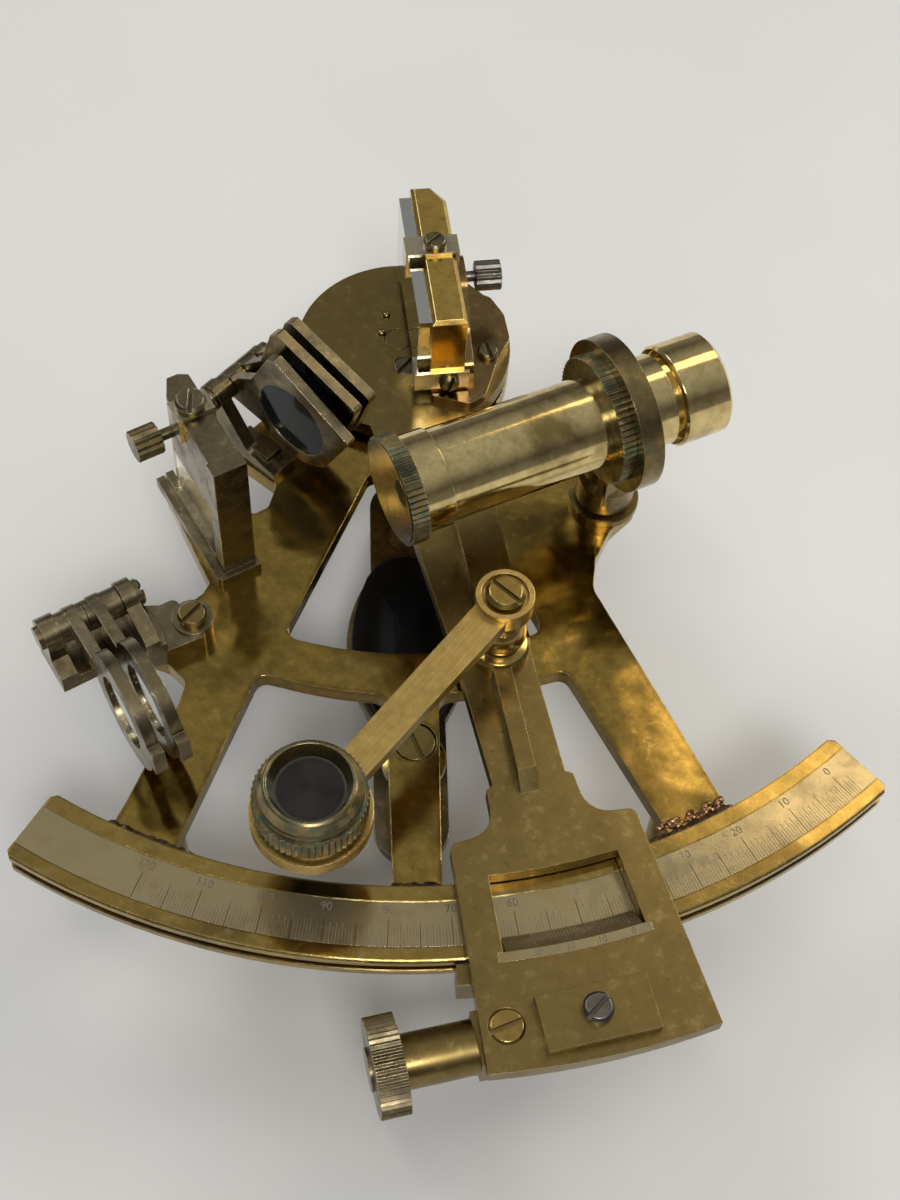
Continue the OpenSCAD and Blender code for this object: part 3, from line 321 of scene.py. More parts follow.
@dataclass(frozen=True)
class BrassFinish(Finish):
    """Old brass: tarnish in clouds, worn edges brightened further by a painted highlight, painted shade in
    the hollows, fine scratches.

    The colours are deep under the tarnish, body where it is clean, and bright where it is worn and where a
    highlight is painted on the edges; dirt serves the specks of grime and the painted shade in the hollows.
    The lengths cloud, edge, hollow, border_width and wave are in mm, and brushed is the direction of its
    streaks in degrees. The other numbers are shares and roughnesses from 0 to 1.
    """

    deep: Colour
    body: Colour
    bright: Colour
    # Colour of the specks of grime, and of the painted shade in the hollows.
    dirt: Colour = (0.035, 0.026, 0.014)
    green: Colour = (0.045, 0.115, 0.085)
    cloud: float = 9.0
    tarnish: float = 0.5
    smooth: float = 0.22
    dull: float = 0.42
    edge: float = 0.16
    # Share of the bright colour on the edges: real wear and a painted highlight together.
    wear: float = 0.7
    hollow: float = 1.6
    # Share of painted shade in the hollows.
    hollow_dirt: float = 0.75
    spots: float = 0.45
    verdigris: float = 0.0
    scratch: float = 0.35
    border: float = 0.0
    border_width: float = 1.5
    wave: float = 0.0
    brushed: float = 0.0

    def shade(self, graph: Graph) -> None:
        """Writes the nodes of this finish.

        Args:
            graph: the material's nodes.
        """
        clouds = graph.noise(self.cloud, detail=9.0, rough=0.58, warp=0.15)
        fine = graph.noise(0.9, detail=5.0, rough=0.6)
        hairs = self._hairs(graph)
        soft, edge_mask = graph.edges(self.edge)
        hollow_mask = graph.hollows(self.hollow)
        colour = self._tarnished(graph, clouds)
        if self.border:
            colour = self._bordered(graph, colour)
        # Edges: worn metal, brightened further by a painted highlight.
        broken = graph.span(graph.noise(1.6), 0.30, 0.62)
        worn = graph.times(graph.times(edge_mask, broken), self.wear)
        colour = graph.mix(worn, colour, self.bright)
        # Painted shade: near-black in the hollows and corners that the occlusion mask finds.
        colour = graph.mix(graph.times(hollow_mask, self.hollow_dirt), colour, self.dirt)
        if self.verdigris:
            colour = self._greened(graph, colour)
        if self.brushed:
            streaks = graph.span(graph.grain(0.35, 24.0, (0.0, 0.0, self.brushed)), 0.40, 0.66)
            colour = graph.mix(graph.times(streaks, 0.5), colour, self.deep)
            hairs = graph.plus(hairs, streaks)
        if self.wave:
            soft = graph.bump(graph.noise(15.0, detail=2.0, rough=0.4), 1.0, self.wave, soft)
        height = graph.plus(graph.times(fine, 0.5), graph.times(hairs, -0.5 * self.scratch))
        normal = graph.bump(height, 0.2, 0.03, soft)
        rough = graph.span(clouds, 0.35, 0.70, self.smooth, self.dull)
        for mask, share in ((fine, 0.06), (hairs, 0.12 * self.scratch), (hollow_mask, 0.25)):
            rough = graph.plus(rough, graph.times(mask, share))
        graph.set(Base_Color=colour, Metallic=1.0, Roughness=rough, Normal=normal)

    def _tarnished(self, graph: Graph, clouds: Socket) -> Socket:
        """Gives the colour of the open faces.

        Args:
            graph: the material's nodes.
            clouds: the noise that the tarnish follows.

        Returns:
            The colour, with its clouds, its mottling and its specks.
        """
        mask = graph.span(clouds, 0.60 - 0.3 * self.tarnish, 0.80 - 0.2 * self.tarnish)
        colour = graph.mix(mask, self.body, self.deep)
        mottle = graph.noise(1.9, detail=8.0, rough=0.68)
        colour = graph.mix(graph.span(mottle, 0.42, 0.66, to_high=0.35), colour, self.deep)
        colour = graph.mix(graph.span(mottle, 0.46, 0.30, to_high=0.20), colour, self.bright)
        specks = graph.span(graph.noise(1.1, detail=6.0, rough=0.72), 0.60, 0.70)
        return graph.mix(graph.times(specks, self.spots), colour, self.dirt)

    def _bordered(self, graph: Graph, colour: Socket) -> Socket:
        """Darkens the colour in a patchy border along the edges.

        Args:
            graph: the material's nodes.
            colour: the colour so far.

        Returns:
            The colour with its border.
        """
        wide = graph.span(graph.edges(self.border_width)[1], 0.0, 0.5)
        patchy = graph.span(graph.noise(5.0, detail=6.0, rough=0.6), 0.36, 0.62, to_low=0.2)
        shaded = graph.times(graph.times(wide, patchy), self.border)
        return graph.mix(shaded, colour, darker(self.deep, 0.5))

    def _greened(self, graph: Graph, colour: Socket) -> Socket:
        """Adds verdigris, more of it in the hollows.

        Args:
            graph: the material's nodes.
            colour: the colour so far.

        Returns:
            The colour with its verdigris.
        """
        patches = graph.span(graph.noise(2.4, detail=7.0, rough=0.7), 0.47, 0.58)
        near = graph.span(graph.hollows(3.0), 0.0, 0.4, to_low=0.55)
        return graph.mix(graph.times(graph.times(patches, self.verdigris), near), colour, self.green)

    def _hairs(self, graph: Graph) -> Socket:
        """Gives fine scratches in three directions.

        Args:
            graph: the material's nodes.

        Returns:
            A mask that is 1 in a scratch and more where two cross.
        """
        total: Value = 0.0
        for turn, stretch in ((23.0, 26.0), (97.0, 34.0), (149.0, 22.0)):
            lines = graph.span(graph.grain(0.22, stretch, (4.0, 9.0, turn)), 0.62, 0.74)
            total = graph.plus(total, lines)
        return total


@dataclass(frozen=True)
class SilverFinish(Finish):
    """Warm, dull silver with cloudy stains, a fine grain and pale edges."""

    body: Colour = (0.41, 0.335, 0.185)
    stain: Colour = (0.26, 0.195, 0.09)
    worn: Colour = (0.75, 0.70, 0.58)
    rough: float = 0.17

    def shade(self, graph: Graph) -> None:
        """Writes the nodes of this finish.

        Args:
            graph: the material's nodes.
        """
        clouds = graph.noise(7.0, detail=9.0, rough=0.62, warp=0.2)
        fine = graph.noise(0.5)
        soft, edge_mask = graph.edges(0.08)
        colour = graph.mix(graph.times(graph.span(clouds, 0.46, 0.68), 0.7), self.body, self.stain)
        colour = graph.mix(graph.times(graph.span(fine, 0.45, 0.8), 0.25), colour, self.stain)
        colour = graph.mix(graph.times(edge_mask, 0.5), colour, self.worn)
        rough = graph.span(clouds, 0.3, 0.7, self.rough - 0.07, self.rough + 0.11)
        normal = graph.bump(fine, 0.2, 0.02, soft)
        graph.set(Base_Color=colour, Metallic=0.85, Roughness=rough, Normal=normal)


@dataclass(frozen=True)
class GripFinish(Finish):
    """Near-black hard grip with a satin shine, grey scuffs at its edges and dust."""

    body: Colour = (0.0025, 0.0025, 0.0025)
    scuff: Colour = (0.035, 0.037, 0.033)

    def shade(self, graph: Graph) -> None:
        """Writes the nodes of this finish.

        Args:
            graph: the material's nodes.
        """
        fine = graph.noise(0.7, detail=6.0, rough=0.7)
        soft, edge_mask = graph.edges(0.5)
        scuffs = graph.times(edge_mask, graph.span(graph.noise(2.0, detail=5.0), 0.35, 0.65))
        colour = graph.mix(graph.times(scuffs, 0.6), self.body, self.scuff)
        dust = graph.span(graph.noise(0.45, detail=3.0), 0.68, 0.76)
        colour = graph.mix(graph.times(dust, 0.3), colour, self.scuff)
        rough = graph.span(fine, 0.3, 0.7, 0.30, 0.50)
        graph.set(Base_Color=colour, Roughness=rough, IOR=1.2, Normal=graph.bump(fine, 0.3, 0.06, soft))


@dataclass(frozen=True)
class GlassFinish(Finish):
    """Clear or tinted glass with faint dust and haze."""

    tint: Colour = (0.92, 0.95, 0.93)
    rough: float = 0.03

    def shade(self, graph: Graph) -> None:
        """Writes the nodes of this finish.

        Args:
            graph: the material's nodes.
        """
        dust = graph.span(graph.noise(0.6, detail=5.0, rough=0.7), 0.52, 0.80, self.rough, self.rough + 0.14)
        haze = graph.times(graph.span(graph.noise(4.0), 0.4, 0.8), 0.25)
        colour = graph.mix(haze, self.tint, darker(self.tint, 0.8))
        graph.set(Base_Color=colour, Roughness=dust, Transmission_Weight=1.0, IOR=1.48)


@dataclass(frozen=True)
class SunGlassFinish(Finish):
    """Nearly opaque dark glass with a lighter rim: teal on the shades; on the magnifier's lens, painted shade
    with a painted grey highlight.
    """

    body: Colour = (0.006, 0.009, 0.013)
    rim: Colour = (0.022, 0.055, 0.080)

    def shade(self, graph: Graph) -> None:
        """Writes the nodes of this finish.

        Args:
            graph: the material's nodes.
        """
        clouds = graph.span(graph.noise(5.0, detail=3.0), 0.35, 0.7)
        colour = graph.mix(clouds, self.body, darker(self.body, 0.6))
        colour = graph.mix(graph.times(graph.edges(0.7)[1], 0.8), colour, self.rim)
        rough = graph.span(graph.noise(0.8, detail=5.0), 0.5, 0.8, 0.05, 0.18)
        graph.set(Base_Color=colour, Roughness=rough, IOR=1.28)


@dataclass(frozen=True)
class MirrorFinish(Finish):
    """Silvered glass, a little spotted with age."""

    body: Colour = (0.62, 0.62, 0.59)
    spot: Colour = (0.10, 0.09, 0.07)

    def shade(self, graph: Graph) -> None:
        """Writes the nodes of this finish.

        Args:
            graph: the material's nodes.
        """
        spots = graph.span(graph.noise(0.9, detail=6.0, rough=0.7, warp=0.8), 0.62, 0.74)
        colour = graph.mix(graph.times(spots, 0.7), self.body, self.spot)
        graph.set(Base_Color=colour, Metallic=1.0, Roughness=graph.span(spots, 0.0, 1.0, 0.05, 0.4))


@dataclass(frozen=True)
class WaxFinish(Finish):
    """Dark filling of the engraved lines, partly worn away."""

    body: Colour = (0.085, 0.068, 0.042)
    worn: Colour = (0.22, 0.18, 0.11)

    def shade(self, graph: Graph) -> None:
        """Writes the nodes of this finish.

        Args:
            graph: the material's nodes.
        """
        wear = graph.span(graph.noise(3.0, detail=6.0, rough=0.7), 0.42, 0.70)
        colour = graph.mix(wear, self.body, self.worn)
        graph.set(Base_Color=colour, Roughness=graph.span(wear, 0.0, 1.0, 0.7, 0.45))


@dataclass(frozen=True)
class SolderFinish(Finish):
    """Lumps of solder, coppery in places and burnt in others."""

    body: Colour = (0.46, 0.24, 0.11)
    burnt: Colour = (0.06, 0.035, 0.02)

    def shade(self, graph: Graph) -> None:
        """Writes the nodes of this finish.

        Args:
            graph: the material's nodes.
        """
        lumps = graph.noise(0.7)
        colour = graph.mix(graph.span(lumps, 0.40, 0.58), self.body, self.burnt)
        rough = graph.span(lumps, 0.3, 0.7, 0.25, 0.55)
        graph.set(Base_Color=colour, Metallic=0.9, Roughness=rough, Normal=graph.bump(lumps, 0.6, 0.2))


@dataclass(frozen=True)
class TableFinish(Finish):
    """Pale, smooth table with a few dark specks."""

    body: Colour = (0.63, 0.63, 0.62)
    speck: Colour = (0.15, 0.14, 0.13)
    rough: float = 0.55

    def shade(self, graph: Graph) -> None:
        """Writes the nodes of this finish.

        Args:
            graph: the material's nodes.
        """
        broad = graph.span(graph.noise(160.0, detail=3.0), 0.3, 0.7)
        fine = graph.noise(1.2, detail=5.0, rough=0.6)
        colour = graph.mix(broad, self.body, darker(self.body, 0.93))
        specks = graph.span(graph.noise(1.1, detail=2.0), 0.80, 0.84)
        colour = graph.mix(graph.times(specks, 0.5), colour, self.speck)
        graph.set(Base_Color=colour, Roughness=self.rough, Normal=graph.bump(fine, 0.05, 0.1))


class Palette:
    """Every finish of the instrument and of its table."""

    olive = BrassFinish("olive_brass", deep=(0.165, 0.118, 0.041), body=(0.235, 0.170, 0.060),
                        bright=(0.62, 0.50, 0.24), smooth=0.20, dull=0.34, edge=0.14)
    frame = BrassFinish("frame_brass", deep=(0.13, 0.088, 0.024), body=(0.39, 0.26, 0.062),
                        bright=(0.86, 0.62, 0.22), cloud=16.0, smooth=0.07, dull=0.20, edge=0.22, wear=1.0,
                        border=0.85, wave=0.8)
    arc = BrassFinish("arc_brass", deep=(0.22, 0.15, 0.045), body=(0.43, 0.295, 0.08),
                      bright=(0.82, 0.66, 0.34), cloud=14.0, smooth=0.08, dull=0.18, edge=0.4, spots=0.25,
                      wave=0.3)
    golden = BrassFinish("golden_brass", deep=(0.18, 0.12, 0.035), body=(0.42, 0.285, 0.08),
                         bright=(0.86, 0.68, 0.32), tarnish=0.3, smooth=0.12, dull=0.26)
    bar = BrassFinish("brushed_brass", deep=(0.34, 0.225, 0.07), body=(0.60, 0.425, 0.14),
                      bright=(0.90, 0.76, 0.42), tarnish=0.3, smooth=0.20, dull=0.32, spots=0.2, brushed=51.0)
    pale = BrassFinish("pale_brass", deep=(0.31, 0.22, 0.08), body=(0.80, 0.63, 0.29),
                       bright=(0.94, 0.82, 0.52), tarnish=0.40, smooth=0.05, dull=0.12, spots=0.3, wave=0.1)
    bronze = BrassFinish("bronze_patina", deep=(0.10, 0.082, 0.050), body=(0.22, 0.18, 0.10),
                         bright=(0.68, 0.58, 0.38), cloud=5.0, smooth=0.18, dull=0.36, wear=0.95)
    gilt = BrassFinish("gilt_brass", deep=(0.34, 0.21, 0.05), body=(0.66, 0.44, 0.11),
                       bright=(0.92, 0.76, 0.42), cloud=6.0, tarnish=0.25, smooth=0.10, dull=0.24, wear=0.9)
    umber = BrassFinish("umber_brass", deep=(0.13, 0.075, 0.035), body=(0.26, 0.17, 0.07),
                        bright=(0.66, 0.52, 0.27), cloud=8.0, smooth=0.14, dull=0.32, wear=0.9)
    knurl = BrassFinish("knurled_brass", deep=(0.09, 0.07, 0.035), body=(0.25, 0.195, 0.09),
                        bright=(0.62, 0.53, 0.34), cloud=4.0, verdigris=0.85, wear=0.9)
    collar = BrassFinish("collar_brass", deep=(0.10, 0.075, 0.035), body=(0.28, 0.20, 0.085),
                         bright=(0.74, 0.60, 0.32), cloud=7.0, smooth=0.16, dull=0.32, wear=0.95,
                         verdigris=0.4)
    steel = BrassFinish("dark_steel", deep=(0.06, 0.058, 0.052), body=(0.14, 0.13, 0.115),
                        bright=(0.55, 0.52, 0.46), cloud=4.0, wear=0.9)
    silver = SilverFinish("scale_silver")
    clip = SilverFinish("clip_silver", body=(0.44, 0.39, 0.27), stain=(0.16, 0.13, 0.08), rough=0.22)
    grip = GripFinish("black_grip")
    # Near-black: the dark seam behind the cap, and the painted shade that fills the cap's hole.
    soot = GripFinish("soot", scuff=(0.003, 0.003, 0.003))
    clear = GlassFinish("clear_glass")
    lens = GlassFinish("lens_glass", tint=(0.30, 0.31, 0.30))
    sun = SunGlassFinish("sun_glass")
    # The magnifier's lens: its near-black body is painted shade, and its grey rim is a painted highlight.
    dusky = SunGlassFinish("lens_with_painted_shade", body=(0.022, 0.019, 0.018), rim=(0.10, 0.095, 0.08))
    mirror = MirrorFinish("silvered_glass")
    wax = WaxFinish("engraving_wax")
    solder = SolderFinish("solder")
    flux = SolderFinish("burnt_flux", body=(0.085, 0.05, 0.028), burnt=(0.025, 0.016, 0.010))
    table = TableFinish("pale_table")


def nodes(*names: str) -> list[Piece]:
    """Gives CAD nodes by name."""
    return [frame["nodes"][name] for name in names]


def finished(name: str, shape: Shape, body: Body, finish: Finish) -> Piece:
    """Makes a finished piece from a shape and sets it on its body.

    Args:
        name: the piece's name.
        shape: its mesh, in metres in the frame of the part. It is freed.
        body: the body that it rides on.
        finish: its finish.

    Returns:
        The new object.
    """
    mesh = bpy.data.meshes.new(name)
    shape.to_mesh(mesh)
    shape.free()
    piece = bpy.data.objects.new(name, mesh)
    bpy.context.scene.collection.objects.link(piece)
    finish.dress(piece)
    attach(piece, body.value)
    LOG.info("%s: %d faces on %s", name, len(mesh.polygons), body.value)
    return piece


def join(target: Shape, extra: Shape) -> None:
    """Adds one mesh to another.

    Args:
        target: the mesh that grows.
        extra: the mesh that is added. It is freed.
    """
    mesh = bpy.data.meshes.new("joined")
    extra.to_mesh(mesh)
    extra.free()
    target.from_mesh(mesh)
    bpy.data.meshes.remove(mesh)


@dataclass
class Lettering:
    """Small upright numbers laid on a flat face."""

    height: float
    font_size: float = 1.4  # beside the height
    thickness: float = 0.012
    curve_steps: int = 3

    def number(self, text: str, at: Vector, turn: float) -> Shape:
        """Makes one number.

        Args:
            text: its digits.
            at: the middle of the number.
            turn: its direction, in degrees from +X.

        Returns:
            The number's mesh.
        """
        curve = bpy.data.curves.new("digits", "FONT")
        curve.body = text
        curve.size = self.height * MM * self.font_size
        curve.align_x = "CENTER"
        curve.align_y = "CENTER"
        curve.extrude = self.thickness * MM / 2
        curve.resolution_u = self.curve_steps
        holder = bpy.data.objects.new("digits", curve)
        bpy.context.scene.collection.objects.link(holder)
        bpy.context.view_layer.update()
        flat = bpy.data.meshes.new_from_object(holder.evaluated_get(bpy.context.evaluated_depsgraph_get()))
        shape = bmesh.new()
        shape.from_mesh(flat)
        bpy.data.objects.remove(holder)
        bpy.data.curves.remove(curve)
        bpy.data.meshes.remove(flat)
        matrix = Matrix.Translation(at) @ Matrix.Rotation(math.radians(turn), 4, "Z")
        bmesh.ops.transform(shape, matrix=matrix, verts=shape.verts)
        return shape


@dataclass
class Ticks:
    """Engraved lines that point to the pivot. Their two ends may be at different heights."""

    inner: float
    outer: float
    width: float
    height_in: float
    height_out: float
    thickness: float = 0.014

    def row(self, first: float, step: float, count: int) -> Shape:
        """Makes a row of them.

        Args:
            first: angle of its first line, in degrees.
            step: angle from one line to the next.
            count: how many lines it has.

        Returns:
            The mesh of all its lines.
        """
        shape = bmesh.new()
        bmesh.ops.create_cube(shape, size=1.0)
        length = math.hypot(self.outer - self.inner, self.height_out - self.height_in)
        tilt = math.atan2(self.height_out - self.height_in, self.outer - self.inner)
        bmesh.ops.scale(shape, vec=Vector((self.width, length, self.thickness)) * MM, verts=shape.verts)
        middle = (self.inner + self.outer) / 2
        height = (self.height_in + self.height_out) / 2
        matrix = (Matrix.Translation(PIVOT) @ Matrix.Rotation(math.radians(first), 4, "Z")
                  @ Matrix.Translation(Vector((0, -middle, height)) * MM) @ Matrix.Rotation(-tilt, 4, "X"))
        bmesh.ops.transform(shape, matrix=matrix, verts=shape.verts)
        if count > 1:
            everything = shape.verts[:] + shape.edges[:] + shape.faces[:]
            bmesh.ops.spin(shape, geom=everything, cent=PIVOT, axis=(0, 0, 1), dvec=(0, 0, 0),
                           angle=math.radians(step * (count - 1)), steps=count - 1, use_merge=False,
                           use_normal_flip=False, use_duplicate=True)
        return shape


@dataclass(frozen=True)
class LineKind:
    """One kind of line on a scale."""

    start: float  # inner radius on the arc, length on the vernier
    width: float
    every: int  # divisions from one line to the next
    ahead: float = 0.0  # divisions by which the first line lies before the zero
    extra: int = 1  # lines beside those that the divisions give


@dataclass
class GraduatedArc:
    """The arc with its silver strip, its divisions and its numbers."""

    zero: float = 37.6
    unit: float = -0.5
    units: int = 120
    strip_outer: float = 105.7
    number_every: int = 10
    number_radius: float = 100.25
    number_height: float = 1.25
    kinds: tuple[LineKind, ...] = (
        LineKind(102.5, 0.07, 1, ahead=2.0, extra=3),
        LineKind(103.3, 0.06, 1, ahead=1.5, extra=2),
        LineKind(101.8, 0.08, 5),
        LineKind(101.3, 0.10, 10),
    )

    def divisions(self) -> Piece:
        """Makes the lines: each unit, halves between them, and longer ones at fives and tens.

        Returns:
            The lines, as one piece.
        """
        shape = bmesh.new()
        height = ARC_TOP + ENGRAVING_LIFT
        for kind in self.kinds:
            ticks = Ticks(kind.start, self.strip_outer, kind.width, height, height)
            first = self.zero - kind.ahead * self.unit
            join(shape, ticks.row(first, kind.every * self.unit, self.units // kind.every + kind.extra))
        return finished("arc_divisions", shape, Body.FRAME, Palette.wax)

    def numbers(self) -> Piece:
        """Makes the numbers at every tenth unit.

        Returns:
            The numbers, as one piece.
        """
        shape = bmesh.new()
        lettering = Lettering(self.number_height)
        for value in range(0, self.units + 1, self.number_every):
            angle = self.zero + self.unit * value
            at = polar(self.number_radius, angle, ARC_TOP + ENGRAVING_LIFT)
            join(shape, lettering.number(str(value), at, angle))
        return finished("arc_numbers", shape, Body.FRAME, Palette.wax)

    def build(self) -> list[Piece]:
        """Makes the engraved pieces and dresses the arc's nodes.

        Returns:
            The lines and the numbers.
        """
        Palette.arc.dress(*nodes("arc"))
        Palette.silver.dress(*nodes("scale_strip"))
        return [self.divisions(), self.numbers()]


@dataclass
class Vernier:
    """The vernier's lines on its bevel and its numbers on the flat."""

    zero: float = 4.35
    step: float = -0.2417
    steps: int = 30
    inner: float = 105.4
    flat: float = 108.4
    outer: float = 109.8
    clearance: float = 0.4  # from the arc's top to the vernier's thin edge
    edge: float = 0.25  # thickness of that edge
    lift: float = 0.012  # of the lines above the bevel
    start_gap: float = 0.02  # between the edge and the lines
    number_every: int = 10
    number_height: float = 1.0
    kinds: tuple[LineKind, ...] = (
        LineKind(1.5, 0.06, 1),
        LineKind(1.9, 0.07, 5),
        LineKind(2.4, 0.09, 10),
    )

    def divisions(self) -> Piece:
        """Makes the lines on the bevel: one a step, and longer ones at every fifth and tenth.

        Returns:
            The lines, as one piece.
        """
        low = ARC_TOP + self.clearance + self.edge + self.lift
        high = ARM_TOP + self.lift
        slope = (high - low) / (self.flat - self.inner)
        shape = bmesh.new()
        for kind in self.kinds:
            ticks = Ticks(self.inner + self.start_gap, self.inner + kind.start, kind.width, low,
                          low + slope * kind.start)
            count = self.steps // kind.every + kind.extra
            join(shape, ticks.row(ARM_ANGLE + self.zero, self.step * kind.every, count))
        return finished("vernier_divisions", shape, Body.ARM, Palette.wax)

    def numbers(self) -> Piece:
        """Makes the numbers on the flat.

        Returns:
            The numbers, as one piece.
        """
        shape = bmesh.new()
        lettering = Lettering(self.number_height)
        for value in range(0, self.steps + 1, self.number_every):
            angle = ARM_ANGLE + self.zero + self.step * value
            at = polar((self.flat + self.outer) / 2, angle, ARM_TOP + ENGRAVING_LIFT)
            join(shape, lettering.number(str(value), at, angle))
        return finished("vernier_numbers", shape, Body.ARM, Palette.wax)

    def build(self) -> list[Piece]:
        """Makes the engraved pieces and dresses the vernier's node.

        Returns:
            The lines and the numbers.
        """
        Palette.silver.dress(*nodes("vernier"))
        return [self.divisions(), self.numbers()]


@dataclass(frozen=True)
class SolderRun:
    """A run of solder lumps on an arc round the pivot."""

    radius: float
    first: float  # angle of the first lump
    step: float  # angle from one lump to the next
    count: int
    size: tuple[float, float]  # least and greatest radius of a lump
    radius_spread: tuple[float, float] = (-0.2, 0.2)
    angle_spread: float = 0.0

    def spots(self, dice: random.Random) -> list[Point]:
        """Draws the lumps.

        Args:
            dice: the source of the random draws.

        Returns:
            Radius, angle and size of each lump.
        """
        spots = []
        for place in range(self.count):
            radius = self.radius + dice.uniform(*self.radius_spread)
            angle = self.first + self.step * place
            if self.angle_spread:
                angle += dice.uniform(-self.angle_spread, self.angle_spread)
            spots.append((radius, angle, dice.uniform(*self.size)))
        return spots


@dataclass
class FrameCasting:
    """The frame casting, its legs, its screws and the solder at the arc."""

    seed: int = 7
    seat: float = 27.0  # height of the lumps' middles
    breadth: float = 0.66  # of a lump along the arc's radius, beside its size
    lump_height: float = 0.62  # of a lump of solder, beside its size
    flux_height: float = 0.16  # of a lump of flux
    dents: float = 0.12  # how far a lump departs from a ball, beside its size
    right_limb: SolderRun = SolderRun(95.1, 22.2, 0.18, 36, (0.3, 0.9), (-0.9, 0.5), 0.2)
    flux_runs: tuple[SolderRun, ...] = (
        SolderRun(96.3, 21.3, 0.30, 25, (0.8, 1.2)),
        SolderRun(96.2, -26.8, 0.4, 17, (0.5, 0.9)),
        SolderRun(96.2, -1.9, 0.4, 10, (0.5, 0.9)),
    )

    def solder(self, name: str, spots: Sequence[Point], finish: Finish, flat: float) -> Piece:
        """Makes a run of solder lumps.

        Args:
            name: the piece's name.
            spots: radius, angle and size of each lump.
            finish: its finish.
            flat: height of a lump beside its size.

        Returns:
            The solder's object.
        """
        shape = bmesh.new()
        dice = random.Random(self.seed)
        for radius, angle, size in spots:
            lump = bmesh.new()
            bmesh.ops.create_icosphere(lump, subdivisions=3, radius=1.0)
            for vert in lump.verts:
                vert.co *= 1.0 + dice.uniform(-self.dents, self.dents)
            bmesh.ops.smooth_vert(lump, verts=lump.verts, factor=0.5, use_axis_x=True, use_axis_y=True,
                                  use_axis_z=True)
            stretch = Matrix.Diagonal((size * MM, self.breadth * size * MM, flat * size * MM, 1.0))
            turn = Matrix.Rotation(math.radians(angle), 4, "Z")
            matrix = Matrix.Translation(polar(radius, angle, self.seat)) @ turn @ stretch
            bmesh.ops.transform(lump, matrix=matrix, verts=lump.verts)
            join(shape, lump)
        for face in shape.faces:
            face.smooth = True
        return finished(name, shape, Body.FRAME, finish)

    def build(self) -> list[Piece]:
        """Dresses the frame's nodes and makes the solder.

        Returns:
            The solder and the burnt flux.
        """
        Palette.frame.dress(*nodes("frame_plate", "legs"))
        Palette.olive.dress(*nodes("frame_screws", "pivot_bearing", "telescope_foot"))
        dice = random.Random(self.seed)
        lumps = self.right_limb.spots(dice)
        flux = [spot for run in self.flux_runs for spot in run.spots(dice)]
        return [self.solder("right_limb_solder", lumps, Palette.solder, self.lump_height),
                self.solder("burnt_flux", flux, Palette.flux, self.flux_height)]


@dataclass
class HandleGrip:
    """The handle under the frame."""

    def build(self) -> list[Piece]:
        """Dresses the handle's nodes.

        Returns:
            No piece, as it adds none.
        """
        Palette.grip.dress(*nodes("grip_scales"))
        Palette.bronze.dress(*nodes("handle_tang"))
        Palette.golden.dress(*nodes("handle_pillars"))
        return []


@dataclass
class IndexArm:
    """The index arm with the magnifier's parts."""

    def build(self) -> list[Piece]:
        """Dresses the nodes of the arm and of the magnifier.

        Returns:
            No piece, as it adds none.
        """
        Palette.olive.dress(*nodes("index_arm"))
        Palette.golden.dress(*nodes("pivot_shaft", "magnifier_post", "magnifier_pivot_screw"))
        Palette.bar.dress(*nodes("magnifier_arm"))
        Palette.knurl.dress(*nodes("magnifier_cell"))
        # The lens is drawn dark as painted shade, with a painted highlight on its rim.
        Palette.dusky.dress(*nodes("magnifier_lens"))
        return []


@dataclass
class Mirrors:
    """The index mirror and the horizon mirror with their screws and clips."""

    def build(self) -> list[Piece]:
        """Dresses the mirrors' nodes.

        Returns:
            No piece, as it adds none.
        """
        Palette.umber.dress(*nodes("index_mirror_bracket"))
        Palette.gilt.dress(*nodes("index_mirror_housing"))
        Palette.bronze.dress(*nodes("horizon_bracket", "horizon_housing", "horizon_clip_screw",
                                    "index_mirror_screws"))
        Palette.steel.dress(*nodes("index_adjust_screw"))
        Palette.knurl.dress(*nodes("horizon_adjust_screw"))
        Palette.clip.dress(*nodes("index_mirror_clips", "horizon_clip"))
        Palette.mirror.dress(*nodes("index_mirror_glass"))
        Palette.clear.dress(*nodes("horizon_glass"))
        return []


@dataclass
class Shades:
    """Both sets of hinged sun shades."""

    index_shades: int = 3
    horizon_shades: int = 2

    def build(self) -> list[Piece]:
        """Dresses the shades' nodes.

        Returns:
            No piece, as it adds none.
        """
        sets = (("index", self.index_shades, Palette.sun), ("horizon", self.horizon_shades, Palette.clear))
        for place, count, glass in sets:
            Palette.bronze.dress(*nodes(f"{place}_shade_bracket", f"{place}_shade_pin"))
            for number in range(1, count + 1):
                Palette.bronze.dress(*nodes(f"{place}_shade_{number}"))
                glass.dress(*nodes(f"{place}_shade_glass_{number}"))
        return []


